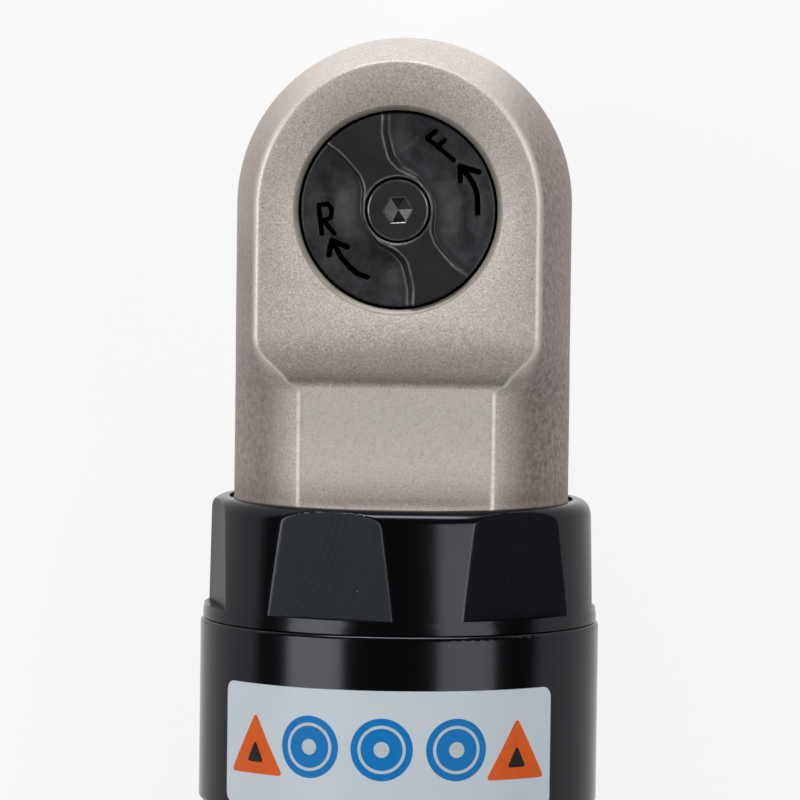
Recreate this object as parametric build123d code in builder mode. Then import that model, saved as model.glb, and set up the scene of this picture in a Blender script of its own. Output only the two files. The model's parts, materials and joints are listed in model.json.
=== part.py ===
from build123d import *
from math import acos, asin, cos, degrees, pi, radians, sin, sqrt, tan
import os

# Air ratchet wrench with a half-inch square drive, in millimetres.
# The origin is the centre of the square drive's end face. +Z points up through the reversing
# knob, +Y points out of the nose, and the handle runs back along -Y.
# A station is a distance behind the drive's axis, and a height is measured from the tool's axis.

os.makedirs("parts", exist_ok=True)

# Fits
running = 0.06          # radial gap of a shaft that turns in its bore
end_play = 0.1          # gap between flat faces that slide past each other
free_gap = 0.3          # gap between moving pieces that never touch

# Square drive
drive_square = 12.7
drive_length = 15.2     # how far it stands out of the head
drive_bevel = 1.0
ball_size = 2.2         # radius of the ball that holds a socket
ball_proud = 0.8
ball_height = 7.0       # above the drive's end
ball_spring_wire = 0.2      # radius of the wire
ball_spring_radius = 1.5

# Head and neck
neck_step = 0.2         # the neck is this much smaller than the spigot's thread
neck_flat = 15.8        # height of the neck's upper and lower flats
head_half_width = 19.25
pad_below_neck = 0.9    # the pad is this much lower than the round neck's top
pad_half_width = 16.0
head_nose = 19.1        # reach of the head, its pad and its sole in front of the drive's axis
pad_nose = 16.9
sole_nose = 18.0
pad_edge_round = 0.6
sole_half_width = 18.2
pad_round_start = 14.6  # station where the pad starts to roll down to the neck
pad_round_end = 19.8
blend_end = 20.6        # station where the head's flank has become the round neck
blend_power = 2.1       # how late the flank turns into the neck
axis_z = drive_length + neck_flat

# Ratchet drum, yoke and washers
drum_radius = 10.9
tooth_gap = 0.5         # between the drum and the yoke's teeth
tooth_depth = 0.9
tooth_count = 48
yoke_wall = 3.1
yoke_gap = 0.4
yoke_height = 15.0
washer_thickness = 1.2
plate_thickness = 3.5
snap_ring_thickness = 1.2
snap_ring_groove = 0.9
snap_ring_width = 2.5
snap_ring_ear = 1.7
snap_ring_hole = 0.7
snap_ring_opening = 7.0
snap_ring_ear_turn = 8.0
tooth_radius = drum_radius + tooth_gap
yoke_radius = tooth_radius + tooth_depth + yoke_wall
chamber_radius = yoke_radius + yoke_gap
chamber_half = yoke_height / 2 + washer_thickness + 2 * end_play
drum_half = chamber_half - end_play

# Reversing knob, its shaft and the pawl
knob_radius = 11.0
knob_thickness = 5.5
knob_inset = 0.2        # the knob's face lies this far below the pad
knob_well_bevel = 0.6
pocket_depth = 1.4
rim_width = 0.7
screw_head_radius = 3.5
screw_head_height = 4.0
screw_radius = 2.0
screw_gap = 0.3         # between the screw's hole and the plunger
screw_key = 2.8         # hexagon across its flats
screw_key_depth = 2.4
screw_point = 0.8       # depth of the drill's cone under the hexagon
shaft_radius = 4.5
key_size = 5.0          # square on the shaft's top that turns with the knob
key_height = 1.4
plunger_radius = 1.6
plunger_back = 0.5
plunger_reach = 5.5
plunger_spring_back = -3.2
plunger_spring_wire = 0.22
plunger_spring_radius = 1.15
pawl_inner = 5.9
pawl_outer = 10.35
pawl_half_angle = 44.0
pawl_teeth = 3          # at each end
pawl_tooth_proud = 0.35
pawl_pivot = 8.0
pawl_pin_radius = 1.5
pawl_height = 12.0
pawl_tilt = 5.0         # the pawl leans this far to either side
knob_turn = 60.0

# Crank
crank_throw = 1.7
bushing_ball = 4.5      # radius of the ball that drives the yoke
ball_station = 24.5
prong_thickness = 3.0
crank_pin_radius = 3.0
web_radius = 8.0
web_thickness = 3.4
crank_journal = 7.0
crank_bushing_wall = 2.4
crank_bushing_length = 12.0
crank_bearing_wall = 6.0
crank_bearing_length = 9.0
carrier_rim = 2.0       # metal outside the planets' pins

# Planet gears
gear_module = 0.7
sun_teeth = 12
planet_teeth = 15
planet_count = 3
backlash = 0.05         # each flank of a tooth is thinned by this much
face_width = 8.0
planet_pin_radius = 2.0
carrier_thickness = 3.6
ring_teeth = sun_teeth + 2 * planet_teeth
planet_centre = gear_module * (sun_teeth + planet_teeth) / 2

# Lock nut and gear case
nut_front = 33.9
nut_length = 14.0
nut_inset = 0.4         # the nut is this much smaller than the gear case
nut_taper = 0.4         # the nut is this much smaller at its front
nut_collar_inset = 0.28 # and its rear collar is this much smaller
nut_round = 1.7
nut_flat_depth = 1.45
nut_flat_length = 12.4
nut_flat_turn = 40.5    # the first flat's turn from the top, towards +X
nut_wall = 3.5          # from the spigot's thread to the gear case's outside
case_radius = 23.0
case_round = 0.6
case_length = 21.1
joint_wall = 3.0        # handle's wall over the gear case's thread
ring_seat_wall = 4.6    # gear case's wall over the ring gear

# Label on the gear case
label_thickness = 0.15
label_start = 6.2       # behind the nut
label_length = 13.9
label_left = 55.0       # degrees from the top, towards -X
label_right = 51.0
label_corner = 1.1

# Motor
rotor_gap = 0.3         # where the rotor comes nearest to the cylinder
rotor_length = 44.4
rotor_journal = 5.0
rear_journal = 4.0
vane_count = 5
vane_thickness = 1.5
vane_height = 6.6
cylinder_wall = 1.9     # at its thinnest
cylinder_offset = 1.3
motor_gap = 0.1         # between the motor and the handle's bore
front_plate_thickness = 7.2
rear_plate_thickness = 8.0
front_bearing_radius = 11.0
front_bearing_length = 5.3
rear_bearing_radius = 9.0
rear_bearing_length = 5.0
spacer_thickness = 1.8
gasket_thickness = 0.8
dowel_radius = 1.2
dowel_wall = 1.0
dowel_depth = 5.0       # how far it enters the front plate
slot_clearance = 0.08   # on each side of a vane
port_radius = 1.5
port_pitch = 6.0
port_count = 5
exhaust_turn = 53.0     # degrees from straight down to each of the two exhaust channels
exhaust_radius = 2.6
exhaust_wall = 0.8
plenum_depth = 1.6
plenum_wall = 3.1

# Handle
handle_rear = 243.0
handle_front_inset = 0.5    # against the gear case
handle_rear_inset = 0.9
handle_waist = 0.8      # how much slimmer the handle is between the grip and the rear
handle_rear_length = 6.0
handle_rear_bevel = 1.5
grip_start = 84.0
grip_end = 148.0
grip_inset = 0.3
grip_thickness = 2.3
groove_count = 12
groove_depth = 0.7
groove_width = 2.2

# Throttle
lever_station = 226.0
lever_rise = 3.0        # of the pin above the flat
lever_flat_depth = 5.6  # cut into the handle under the lever
lever_flat_room = 4.0   # behind the lever's eye
lever_flat_start = 149.5
lever_tip = 154.0
lever_width = 13.0
lever_eye_width = 8.0
lever_eye = 3.0
lever_pin_radius = 1.6
lever_thickness = 4.0
lever_nose = 7.0        # length of the rounded tip
ear_thickness = 3.2
lever_stroke = 6.0
valve_station = 199.0
stem_radius = 2.0
valve_disc = 5.2
valve_disc_thickness = 2.2
valve_tail = 3.0
guide_length = 7.5
valve_chamber = 6.5
seat_radius = 3.6
seat_height = 2.0
gallery_radius = 5.0
spring_floor = -13.0
spring_radius = 3.6
spring_wire = 0.45
spring_turns = 5
plug_inset = 1.2
plug_slot = 1.4
passage_radius = 3.0
passage_height = 5.5

# Air inlet and exhaust
inlet_thread = 5.7
inlet_thread_length = 12.0
inlet_bore = 4.5
inlet_stem = 9.0
inlet_stem_length = 12.0
collar_radius = 12.5
collar_length = 11.5
flange_radius = 14.0
flange_thickness = 2.0
hex_across_flats = 22.0
hex_length = 9.5
deflector_inset = 0.8   # against the handle
deflector_length = 8.8
deflector_wall = 2.0
deflector_bevel = 2.5
vent_count = 9
vent_length = 3.6
vent_width = 2.2
muffler_gap = 0.4
muffler_wall = 3.0      # handle's wall over the muffler
bulkhead = 2.0          # in front of the muffler
screen_thickness = 1.0
screen_hole = 0.8

# Sizes across the tool, worked out from the gear case's radius
thread_radius = case_radius - nut_wall
neck_radius = thread_radius - neck_step
pad_height = neck_radius - pad_below_neck
nut_radius = case_radius - nut_inset
nut_flat = nut_radius - nut_flat_depth
case_thread = case_radius - joint_wall
ring_root = gear_module * (ring_teeth / 2 + 1.25)
ring_outer = case_radius - ring_seat_wall
cylinder_radius = ring_outer
cylinder_bore = cylinder_radius - cylinder_wall - cylinder_offset
rotor_radius = cylinder_bore - cylinder_offset - rotor_gap
motor_bore = cylinder_radius + motor_gap
plenum_radius = cylinder_radius - plenum_wall
exhaust_reach = cylinder_radius - exhaust_radius - exhaust_wall
exhaust_places = [(side_sign * exhaust_reach * sin(radians(exhaust_turn)),
                   -exhaust_reach * cos(radians(exhaust_turn))) for side_sign in (-1, 1)]
grip_radius = case_radius - grip_inset
handle_core_radius = grip_radius - grip_thickness
handle_front_radius = case_radius - handle_front_inset
handle_rear_radius = case_radius - handle_rear_inset
deflector_radius = handle_rear_radius - deflector_inset
muffler_chamber = handle_rear_radius - muffler_wall
lever_flat = handle_rear_radius - lever_flat_depth
lever_height = lever_flat + lever_rise

# Places along the tool, worked out from the sizes above
neck_end = nut_front + free_gap
sole_heights = [-neck_flat * part for part in (1, 0.75, 0.4)]
head_heights = sole_heights + [pad_height * part for part in (0, 0.3, 0.55, 0.75, 0.9, 1)]
nut_rear = nut_front + nut_length
case_rear = nut_rear + case_length
prong_gap = bushing_ball + 2 * crank_throw + free_gap
prong_side = prong_gap + prong_thickness
prong_end = ball_station + bushing_ball
rock = degrees(asin(crank_throw / ball_station))
web_front = prong_end + prong_side * sin(radians(rock)) + free_gap
web_rear = web_front + web_thickness
bushing_front = web_rear + free_gap * 2
bushing_rear = bushing_front + crank_bushing_length
bearing_front = bushing_rear + free_gap * 2
bearing_rear = bearing_front + crank_bearing_length
bushing_outer = crank_journal + running + crank_bushing_wall
bearing_outer = crank_journal + running + crank_bearing_wall
carrier_front = bearing_rear + 1.0
carrier_rear = carrier_front + carrier_thickness
planet_front = carrier_rear + 0.5
planet_rear = planet_front + face_width
ring_front = carrier_rear - 0.5
ring_rear = planet_rear + 1.0
spigot_rear = ring_front - 0.2
spacer_rear = ring_rear + end_play + spacer_thickness
front_plate = spacer_rear + end_play
cylinder_front = front_plate + front_plate_thickness
case_end = cylinder_front
rotor_front = cylinder_front + 0.3
rotor_rear = rotor_front + rotor_length
cylinder_rear = rotor_rear + 0.3
rear_plate_end = cylinder_rear + rear_plate_thickness
motor_end = rear_plate_end + gasket_thickness
collar_front = handle_rear - 2.0
flange_front = collar_front + collar_length
hex_front = flange_front + flange_thickness
inlet_end = hex_front + hex_length
stem_front = collar_front - inlet_stem_length
lever_flat_end = lever_station + lever_eye + lever_flat_room
muffler_front = lever_flat_end + bulkhead
dowel_drop = cylinder_radius - dowel_radius - dowel_wall
cylinder_middle = (cylinder_front + cylinder_rear) / 2
well_radius = knob_radius + free_gap
well_floor = pad_height - knob_inset - knob_thickness - 0.2
knob_bottom = well_floor + 0.2
knob_top = knob_bottom + knob_thickness
shaft_top = knob_bottom + key_height
journal_upper = drum_radius - 2.1
journal_lower = drive_square / sqrt(2) + 0.5

tool_axis = Axis((0, 0, axis_z), (0, 1, 0))
drive_axis = Axis.Z
side = Plane(origin=(0, 0, axis_z), x_dir=(0, -1, 0), z_dir=(-1, 0, 0))


def across(station, height=0.0):
    """The plane square to the tool's axis at a station, facing the rear."""
    return Plane(origin=(0, -station, axis_z + height), x_dir=(1, 0, 0), z_dir=(0, -1, 0))


def level(height):
    """The level plane at a height above the tool's axis."""
    return Plane.XY.offset(axis_z + height)


def turn(outline, mode=Mode.ADD):
    """Turn a closed outline of (station, radius) points about the tool's axis."""
    with BuildSketch(side) as section:
        with BuildLine():
            Polyline(*outline, close=True)
        make_face()
    revolve(section.sketch, axis=tool_axis, mode=mode)


def ring(front, rear, outer, inner, mode=Mode.ADD):
    """A plain ring about the tool's axis, or a disc where inner is nothing."""
    turn([(front, inner), (rear, inner), (rear, outer), (front, outer)], mode)


def bore(front, rear, radius):
    """Cut a round hole along the tool's axis."""
    ring(front, rear, radius, 0, Mode.SUBTRACT)


def drum(bottom, top, radius, mode=Mode.ADD):
    """A cylinder about the drive's axis between two heights."""
    with BuildSketch(level(bottom)) as section:
        Circle(radius)
    extrude(section.sketch, amount=top - bottom, mode=mode)


def post(bottom, top, radius, mode=Mode.ADD):
    """A cylinder about the valve's axis between two heights."""
    with BuildSketch(level(bottom)) as section:
        with Locations((0, -valve_station)):
            Circle(radius)
    extrude(section.sketch, amount=top - bottom, mode=mode)


def rims(piece, radius):
    """The piece's round edges of one radius."""
    circles = piece.edges().filter_by(GeomType.CIRCLE)
    return circles.filter_by(lambda edge: abs(edge.radius - radius) < 0.01)


def flank(height):
    """Half the head's width at a height."""
    if height >= 0:
        return head_half_width - (head_half_width - pad_half_width) * (height / pad_height) ** 2
    return head_half_width - (head_half_width - sole_half_width) * (height / neck_flat) ** 2


def nose_reach(height):
    """How far the head reaches in front of the drive's axis at a height."""
    if height >= 0:
        return head_nose - (head_nose - pad_nose) * (height / pad_height) ** 2
    return head_nose - (head_nose - sole_nose) * (height / neck_flat) ** 2


def head_plan(height):
    """The head's outline at a height, from the nose to where the neck begins."""
    half = flank(height)
    with BuildSketch(level(height)) as plan:
        with BuildLine():
            EllipticalCenterArc((0, 0), half, nose_reach(height), arc_size=180)
            Polyline((-half, 0), (-half, -pad_round_start), (half, -pad_round_start), (half, 0))
        make_face()
    return plan.sketch


def head_edge(height, share):
    """A point of the head's outer edge, which turns into the round neck as share goes from 0 to 1."""
    neck = sqrt(neck_radius ** 2 - height ** 2)
    return (flank(height) * (1 - share) + neck * share, height)


def head_section(station, share):
    """The head's whole section at a station."""
    edge = [head_edge(height, share) for height in head_heights]
    with BuildSketch(across(station)) as section:
        with BuildLine():
            Spline(*edge)
            Line(edge[-1], (-edge[-1][0], pad_height))
            Spline(*[(-x, height) for x, height in edge])
            Line(edge[0], (-edge[0][0], -neck_flat))
        make_face()
    return section.sketch


def gear_outline(teeth, tip, root, thinning, tooth_at):
    """Corner points of an involute wheel with one tooth centred at an angle in degrees."""
    pitch_radius = gear_module * teeth / 2
    base_radius = pitch_radius * cos(radians(20))
    involute = tan(radians(20)) - radians(20)
    half_tooth = pi / (2 * teeth) - thinning / pitch_radius
    points = []
    for tooth in range(teeth):
        centre = radians(tooth_at) + 2 * pi * tooth / teeth
        flank_points = []
        for part in (0, 0.35, 0.7, 1):
            radius = max(root, base_radius) + (tip - max(root, base_radius)) * part
            roll = acos(min(1, base_radius / radius))
            flank_points.append((radius, half_tooth + involute - (tan(roll) - roll)))
        if root < base_radius:
            flank_points.insert(0, (root, flank_points[0][1]))
        for radius, half in flank_points:
            points.append((radius * cos(centre - half), radius * sin(centre - half)))
        for radius, half in reversed(flank_points):
            points.append((radius * cos(centre + half), radius * sin(centre + half)))
    return points


def wheel_face(plane, points):
    """A face bounded by corner points on a plane."""
    with BuildSketch(plane) as section:
        with BuildLine():
            Polyline(*points, close=True)
        make_face()
    return section.sketch


def polar(radius, angle):
    """A point at a radius and an angle in degrees."""
    return (radius * cos(radians(angle)), radius * sin(radians(angle)))


def coil(plane, mean_radius, wire, turns, length):
    """A spring that stands on a plane, with a flat ring for the ground turn at each end."""
    ring_height = 2.4 * wire
    for bottom in (0, length - ring_height):
        with BuildSketch(plane.offset(bottom)) as end_ring:
            Circle(mean_radius + ring_height / 2)
            Circle(mean_radius - ring_height / 2, mode=Mode.SUBTRACT)
        extrude(end_ring.sketch, amount=ring_height)
    rise = length - ring_height
    path = Helix(rise / turns, rise, mean_radius)
    path = plane.offset(ring_height / 2).from_local_coords(path)
    with BuildSketch(Plane(origin=path @ 0, z_dir=path % 0)) as wire_section:
        Circle(wire)
    sweep(wire_section.sketch, path=path, is_frenet=True)


def bearing(front, length, outer, inner):
    """A shielded ball bearing, drawn as one ring with a groove in each face."""
    depth = length * 0.08
    wall = (outer - inner) / 4
    ring(front, front + length, outer, inner)
    ring(front, front + depth, outer - wall, inner + wall, Mode.SUBTRACT)
    ring(front + length - depth, front + length, outer - wall, inner + wall, Mode.SUBTRACT)


# Head: a forged block that turns into a round neck with flats and ends in a threaded spigot
with BuildPart() as ratchet_head:
    loft([head_plan(height) for height in head_heights])
    blend = [ratchet_head.faces().sort_by(Axis.Y)[0]]
    for part in (0.2, 0.4, 0.6, 0.8, 1):
        station = pad_round_start + (blend_end - pad_round_start) * part
        blend.append(head_section(station, part ** blend_power))
    loft(blend)
    extrude(head_section(blend_end, 1), amount=neck_end - blend_end)
    ring(neck_end, spigot_rear, thread_radius, 0)
    with BuildSketch(side) as over_neck:
        with BuildLine():
            roll_start = (pad_round_start, pad_height)
            roll_down = TangentArc(roll_start, (pad_round_end, neck_flat), tangent=(1, 0))
            Polyline(roll_down @ 1, (neck_end, neck_flat), (neck_end, neck_radius * 1.2),
                     (pad_round_start, neck_radius * 1.2), roll_down @ 0)
        make_face()
    extrude(over_neck.sketch, amount=neck_radius * 1.5, both=True, mode=Mode.SUBTRACT)
    pad_face = ratchet_head.faces().filter_by(Axis.Z).sort_by(Axis.Z)[-1]
    fillet([edge for edge in pad_face.edges() if edge.center().Y > -pad_round_start], pad_edge_round)
    # Chamber of the yoke, open below, and the groove of its snap ring
    drum(-neck_flat, chamber_half, chamber_radius, Mode.SUBTRACT)
    groove_top = -(chamber_half + plate_thickness)
    drum(groove_top - snap_ring_thickness, groove_top, chamber_radius + snap_ring_groove, Mode.SUBTRACT)
    # Upper journal and the well of the reversing knob
    drum(chamber_half, well_floor, journal_upper + running, Mode.SUBTRACT)
    drum(well_floor, pad_height, well_radius, Mode.SUBTRACT)
    chamfer(rims(ratchet_head, well_radius).sort_by(Axis.Z)[-1], knob_well_bevel)
    # Slot for the yoke's prongs and the crank's bores
    slot_half = prong_side + prong_end * sin(radians(rock)) + free_gap
    with BuildSketch(across(0)) as prong_slot:
        Rectangle(2 * slot_half, yoke_height + 2 * end_play)
    extrude(prong_slot.sketch, amount=web_front, mode=Mode.SUBTRACT)
    bore(prong_end, bushing_front, slot_half)
    bore(bushing_front, bushing_rear, bushing_outer)
    bore(bushing_rear, bearing_front, crank_journal + 1.5)
    bore(bearing_front, bearing_rear, bearing_outer)
    bore(bearing_rear, spigot_rear, ring_root)
ratchet_head.part.label = "ratchet_head"
export_step(ratchet_head.part, "parts/ratchet_head.step")

# Plate that carries the drum's lower journal, with its snap ring
with BuildPart() as bearing_plate:
    drum(-chamber_half - plate_thickness, -chamber_half, chamber_radius)
    drum(-chamber_half - plate_thickness, -chamber_half, journal_lower + running, Mode.SUBTRACT)
bearing_plate.part.label = "bearing_plate"
export_step(bearing_plate.part, "parts/bearing_plate.step")

with BuildPart() as snap_ring:
    ring_bottom = -chamber_half - plate_thickness - snap_ring_thickness
    with BuildSketch(level(ring_bottom)):
        snap_ring_outer = chamber_radius + snap_ring_groove
        snap_ring_inner = snap_ring_outer - snap_ring_width
        Circle(snap_ring_outer)
        Circle(snap_ring_inner, mode=Mode.SUBTRACT)
        with Locations((0, chamber_radius)):
            Rectangle(snap_ring_opening, 2 * snap_ring_width, mode=Mode.SUBTRACT)
        ear_turn = degrees(snap_ring_opening / 2 / chamber_radius) + snap_ring_ear_turn
        ear_centre = chamber_radius - snap_ring_ear + 0.3
        with Locations(polar(ear_centre, 90 - ear_turn), polar(ear_centre, 90 + ear_turn)):
            Circle(snap_ring_ear)
            Circle(snap_ring_hole, mode=Mode.SUBTRACT)
    extrude(amount=snap_ring_thickness)
snap_ring.part.label = "snap_ring"
export_step(snap_ring.part, "parts/snap_ring.step")

# Thrust washers above and below the yoke
washer_places = {"upper_thrust_washer": yoke_height / 2 + end_play,
                 "lower_thrust_washer": -yoke_height / 2 - end_play - washer_thickness}
for washer_name, washer_bottom in washer_places.items():
    with BuildPart() as washer:
        drum(washer_bottom, washer_bottom + washer_thickness, yoke_radius)
        drum(washer_bottom, washer_bottom + washer_thickness, tooth_radius, Mode.SUBTRACT)
    washer.part.label = washer_name
    export_step(washer.part, f"parts/{washer_name}.step")

# Yoke: a ring with internal ratchet teeth and two prongs that the crank's ball rocks
with BuildPart() as yoke:
    drum(-yoke_height / 2, yoke_height / 2, yoke_radius)
    with BuildSketch(level(-yoke_height / 2)) as prongs:
        with Locations((prong_gap + prong_thickness / 2, -prong_end / 2),
                       (-prong_gap - prong_thickness / 2, -prong_end / 2)):
            Rectangle(prong_thickness, prong_end)
    extrude(prongs.sketch, amount=yoke_height)
    teeth = []
    pitch = 360 / tooth_count
    for tooth in range(tooth_count):
        teeth.append(polar(tooth_radius, pitch * (tooth - 0.15)))
        teeth.append(polar(tooth_radius, pitch * (tooth + 0.15)))
        teeth.append(polar(tooth_radius + tooth_depth, pitch * (tooth + 0.5)))
    extrude(wheel_face(level(-yoke_height / 2), teeth), amount=yoke_height, mode=Mode.SUBTRACT)
    prong_tips = yoke.edges().filter_by(Axis.Z).group_by(Axis.Y)[0]
    fillet(prong_tips, prong_thickness * 0.4)
yoke.part.label = "yoke"
export_step(yoke.part, "parts/yoke.step")

# Anvil: the drum that the pawl turns, with its journals and the square drive
pawl_window = pawl_height + 2 * end_play
with BuildPart() as anvil:
    drum(-drum_half, drum_half, drum_radius)
    drum(drum_half, well_floor - end_play, journal_upper)
    drum(-neck_flat + 1.0, -drum_half, journal_lower)
    with BuildSketch(Plane.XY) as square:
        RectangleRounded(drive_square, drive_square, drive_bevel)
    extrude(square.sketch, amount=drive_length + 1.0)
    chamfer(anvil.faces().sort_by(Axis.Z)[0].edges(), drive_bevel * 0.8)
    drum(-pawl_height / 2 - 2, well_floor, shaft_radius + running, Mode.SUBTRACT)
    with BuildSketch(level(-pawl_window / 2)) as window:
        window_angle = pawl_half_angle + 2.2 * pawl_tilt
        with BuildLine():
            Polyline((0, 0), polar(drum_radius * 2, 90 - window_angle), (0, drum_radius * 2.5),
                     polar(drum_radius * 2, 90 + window_angle), (0, 0))
        make_face()
    extrude(window.sketch, amount=pawl_window, mode=Mode.SUBTRACT)
    with BuildSketch(level(-drum_half)) as pin_hole:
        with Locations((0, pawl_pivot)):
            Circle(pawl_pin_radius)
    extrude(pin_hole.sketch, amount=2 * drum_half, mode=Mode.SUBTRACT)
    with BuildSketch(Plane.YZ.offset(0)) as ball_hole:
        with Locations((0, ball_height)):
            Circle(ball_size + running)
    extrude(ball_hole.sketch, amount=drive_square, mode=Mode.SUBTRACT)
anvil.part.label = "anvil"
export_step(anvil.part, "parts/anvil.step")

# Ball and spring that hold a socket on the square drive
ball_centre = drive_square / 2 + ball_proud - ball_size
with BuildPart() as drive_ball:
    with Locations((ball_centre, 0, ball_height)):
        Sphere(ball_size)
drive_ball.part.label = "drive_ball"
export_step(drive_ball.part, "parts/drive_ball.step")

with BuildPart() as drive_ball_spring:
    spring_room = ball_centre - ball_size - ball_proud
    coil(Plane(origin=(0, 0, ball_height), x_dir=(0, 1, 0), z_dir=(1, 0, 0)),
         ball_spring_radius, ball_spring_wire, 1.5, spring_room)
drive_ball_spring.part.label = "drive_ball_spring"
export_step(drive_ball_spring.part, "parts/drive_ball_spring.step")

# Pawl: it rocks on its pin in the drum's window and has teeth at both ends
pawl_plane = Plane(origin=(0, pawl_pivot, axis_z - pawl_height / 2),
                   x_dir=(cos(radians(-pawl_tilt)), sin(radians(-pawl_tilt)), 0), z_dir=(0, 0, 1))
with BuildPart() as pawl:
    with BuildSketch(pawl_plane) as pawl_outline:
        with Locations((0, -pawl_pivot)):
            Circle(pawl_outer)
            Circle(pawl_inner, mode=Mode.SUBTRACT)
        with BuildLine():
            start = (0, -pawl_pivot)
            right = polar(pawl_outer * 1.4, 90 - pawl_half_angle)
            left = polar(pawl_outer * 1.4, 90 + pawl_half_angle)
            Polyline(start, (right[0], right[1] - pawl_pivot), (0, pawl_outer * 1.8 - pawl_pivot),
                     (left[0], left[1] - pawl_pivot), start)
        make_face(mode=Mode.INTERSECT)
        for side_sign in (-1, 1):
            for tooth in range(pawl_teeth):
                tooth_angle = 90 + side_sign * (pawl_half_angle - pitch * (tooth + 0.5))
                tip = polar(pawl_outer + pawl_tooth_proud, tooth_angle)
                foot_a = polar(pawl_outer - pawl_tooth_proud, tooth_angle - pitch * 0.4)
                foot_b = polar(pawl_outer - pawl_tooth_proud, tooth_angle + pitch * 0.4)
                with BuildLine():
                    Polyline((tip[0], tip[1] - pawl_pivot), (foot_a[0], foot_a[1] - pawl_pivot),
                             (foot_b[0], foot_b[1] - pawl_pivot), close=True)
                make_face()
        Circle(pawl_pin_radius + running, mode=Mode.SUBTRACT)
    extrude(pawl_outline.sketch, amount=pawl_height)
pawl.part.label = "pawl"
export_step(pawl.part, "parts/pawl.step")

with BuildPart() as pawl_pin:
    with BuildSketch(level(-drum_half)) as pin_section:
        with Locations((0, pawl_pivot)):
            Circle(pawl_pin_radius)
    extrude(pin_section.sketch, amount=2 * drum_half)
pawl_pin.part.label = "pawl_pin"
export_step(pawl_pin.part, "parts/pawl_pin.step")

# Reversing shaft with the sprung plunger that tips the pawl
plunger_angle = 90 + knob_turn / 2
plunger_way = polar(1, plunger_angle)
plunger_plane = Plane(origin=(0, 0, axis_z), x_dir=(0, 0, 1), z_dir=(plunger_way[0], plunger_way[1], 0))
with BuildPart() as reverse_shaft:
    drum(-pawl_height / 2 - 1.5, knob_bottom, shaft_radius)
    with BuildSketch(level(knob_bottom)) as key:
        Rectangle(key_size, key_size)
    extrude(key.sketch, amount=key_height)
    drum(plunger_radius + screw_gap, shaft_top, screw_radius, Mode.SUBTRACT)
    with BuildSketch(plunger_plane.offset(plunger_spring_back)) as plunger_hole:
        Circle(plunger_radius + running)
    extrude(plunger_hole.sketch, amount=shaft_radius * 2, mode=Mode.SUBTRACT)
reverse_shaft.part.label = "reverse_shaft"
export_step(reverse_shaft.part, "parts/reverse_shaft.step")

with BuildPart() as pawl_plunger:
    with BuildSketch(plunger_plane.offset(plunger_back)) as plunger_section:
        Circle(plunger_radius)
    extrude(plunger_section.sketch, amount=plunger_reach - plunger_back)
    plunger_axis = Axis((0, 0, axis_z), (plunger_way[0], plunger_way[1], 0))
    fillet(pawl_plunger.edges().sort_by(plunger_axis)[-1], plunger_radius * 0.7)
pawl_plunger.part.label = "pawl_plunger"
export_step(pawl_plunger.part, "parts/pawl_plunger.step")

with BuildPart() as plunger_spring:
    coil(plunger_plane.offset(plunger_spring_back), plunger_spring_radius, plunger_spring_wire, 3,
         plunger_back - plunger_spring_back - 0.8)
plunger_spring.part.label = "plunger_spring"
export_step(plunger_spring.part, "parts/plunger_spring.step")

# Reversing knob: a disc with two finger pockets either side of a twisted ridge
with BuildPart() as reverse_knob:
    drum(knob_bottom, knob_top, knob_radius)
    fillet(reverse_knob.faces().sort_by(Axis.Z)[-1].edges(), 0.5)
    pocket_radius = knob_radius - rim_width
    far = 1.5 * pocket_radius
    ridge_edge = [(-0.18, 1.02), (-0.14, 0.69), (-0.04, 0.5), (0.17, 0.37), (0.35, 0.17), (0.37, -0.02),
                  (0.34, -0.25), (0.42, -0.4), (0.59, -0.57), (0.8, -0.74)]
    with BuildSketch(level(knob_top - pocket_depth)) as pocket:
        with BuildLine():
            inner = Spline(*[(x * pocket_radius, y * pocket_radius) for x, y in ridge_edge])
            Polyline(inner @ 1, (far, -pocket_radius), (far, far), ((inner @ 0).X, far), inner @ 0)
        make_face()
        Circle(pocket_radius, mode=Mode.INTERSECT)
        mirrored = pocket.sketch.rotate(Axis.Z, 180)
        add(mirrored)
    extrude(pocket.sketch, amount=pocket_depth, mode=Mode.SUBTRACT)
    drum(knob_top - screw_head_height - 0.1, knob_top, screw_head_radius + free_gap, Mode.SUBTRACT)
    drum(knob_bottom, knob_top, screw_radius + 0.2, Mode.SUBTRACT)
    with BuildSketch(level(knob_bottom)) as keyway:
        Rectangle(key_size, key_size)
    extrude(keyway.sketch, amount=key_height, mode=Mode.SUBTRACT)
reverse_knob.part.label = "reverse_knob"
export_step(reverse_knob.part, "parts/reverse_knob.step")

with BuildPart() as knob_screw:
    screw_seat = knob_top - screw_head_height - 0.1
    drum(screw_seat, screw_seat + screw_head_height, screw_head_radius)
    fillet(knob_screw.faces().sort_by(Axis.Z)[-1].edges(), 0.3)
    drum(plunger_radius + screw_gap + 0.5, screw_seat, screw_radius)
    with BuildSketch(level(screw_seat + screw_head_height)) as socket:
        RegularPolygon(screw_key / 2, 6, major_radius=False)
    extrude(socket.sketch, amount=-screw_key_depth, mode=Mode.SUBTRACT)
    socket_floor = screw_seat + screw_head_height - screw_key_depth
    with Locations((0, 0, axis_z + socket_floor - screw_point / 2)):
        Cone(0, screw_key / 2, screw_point, mode=Mode.SUBTRACT)
knob_screw.part.label = "knob_screw"
export_step(knob_screw.part, "parts/knob_screw.step")

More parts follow.
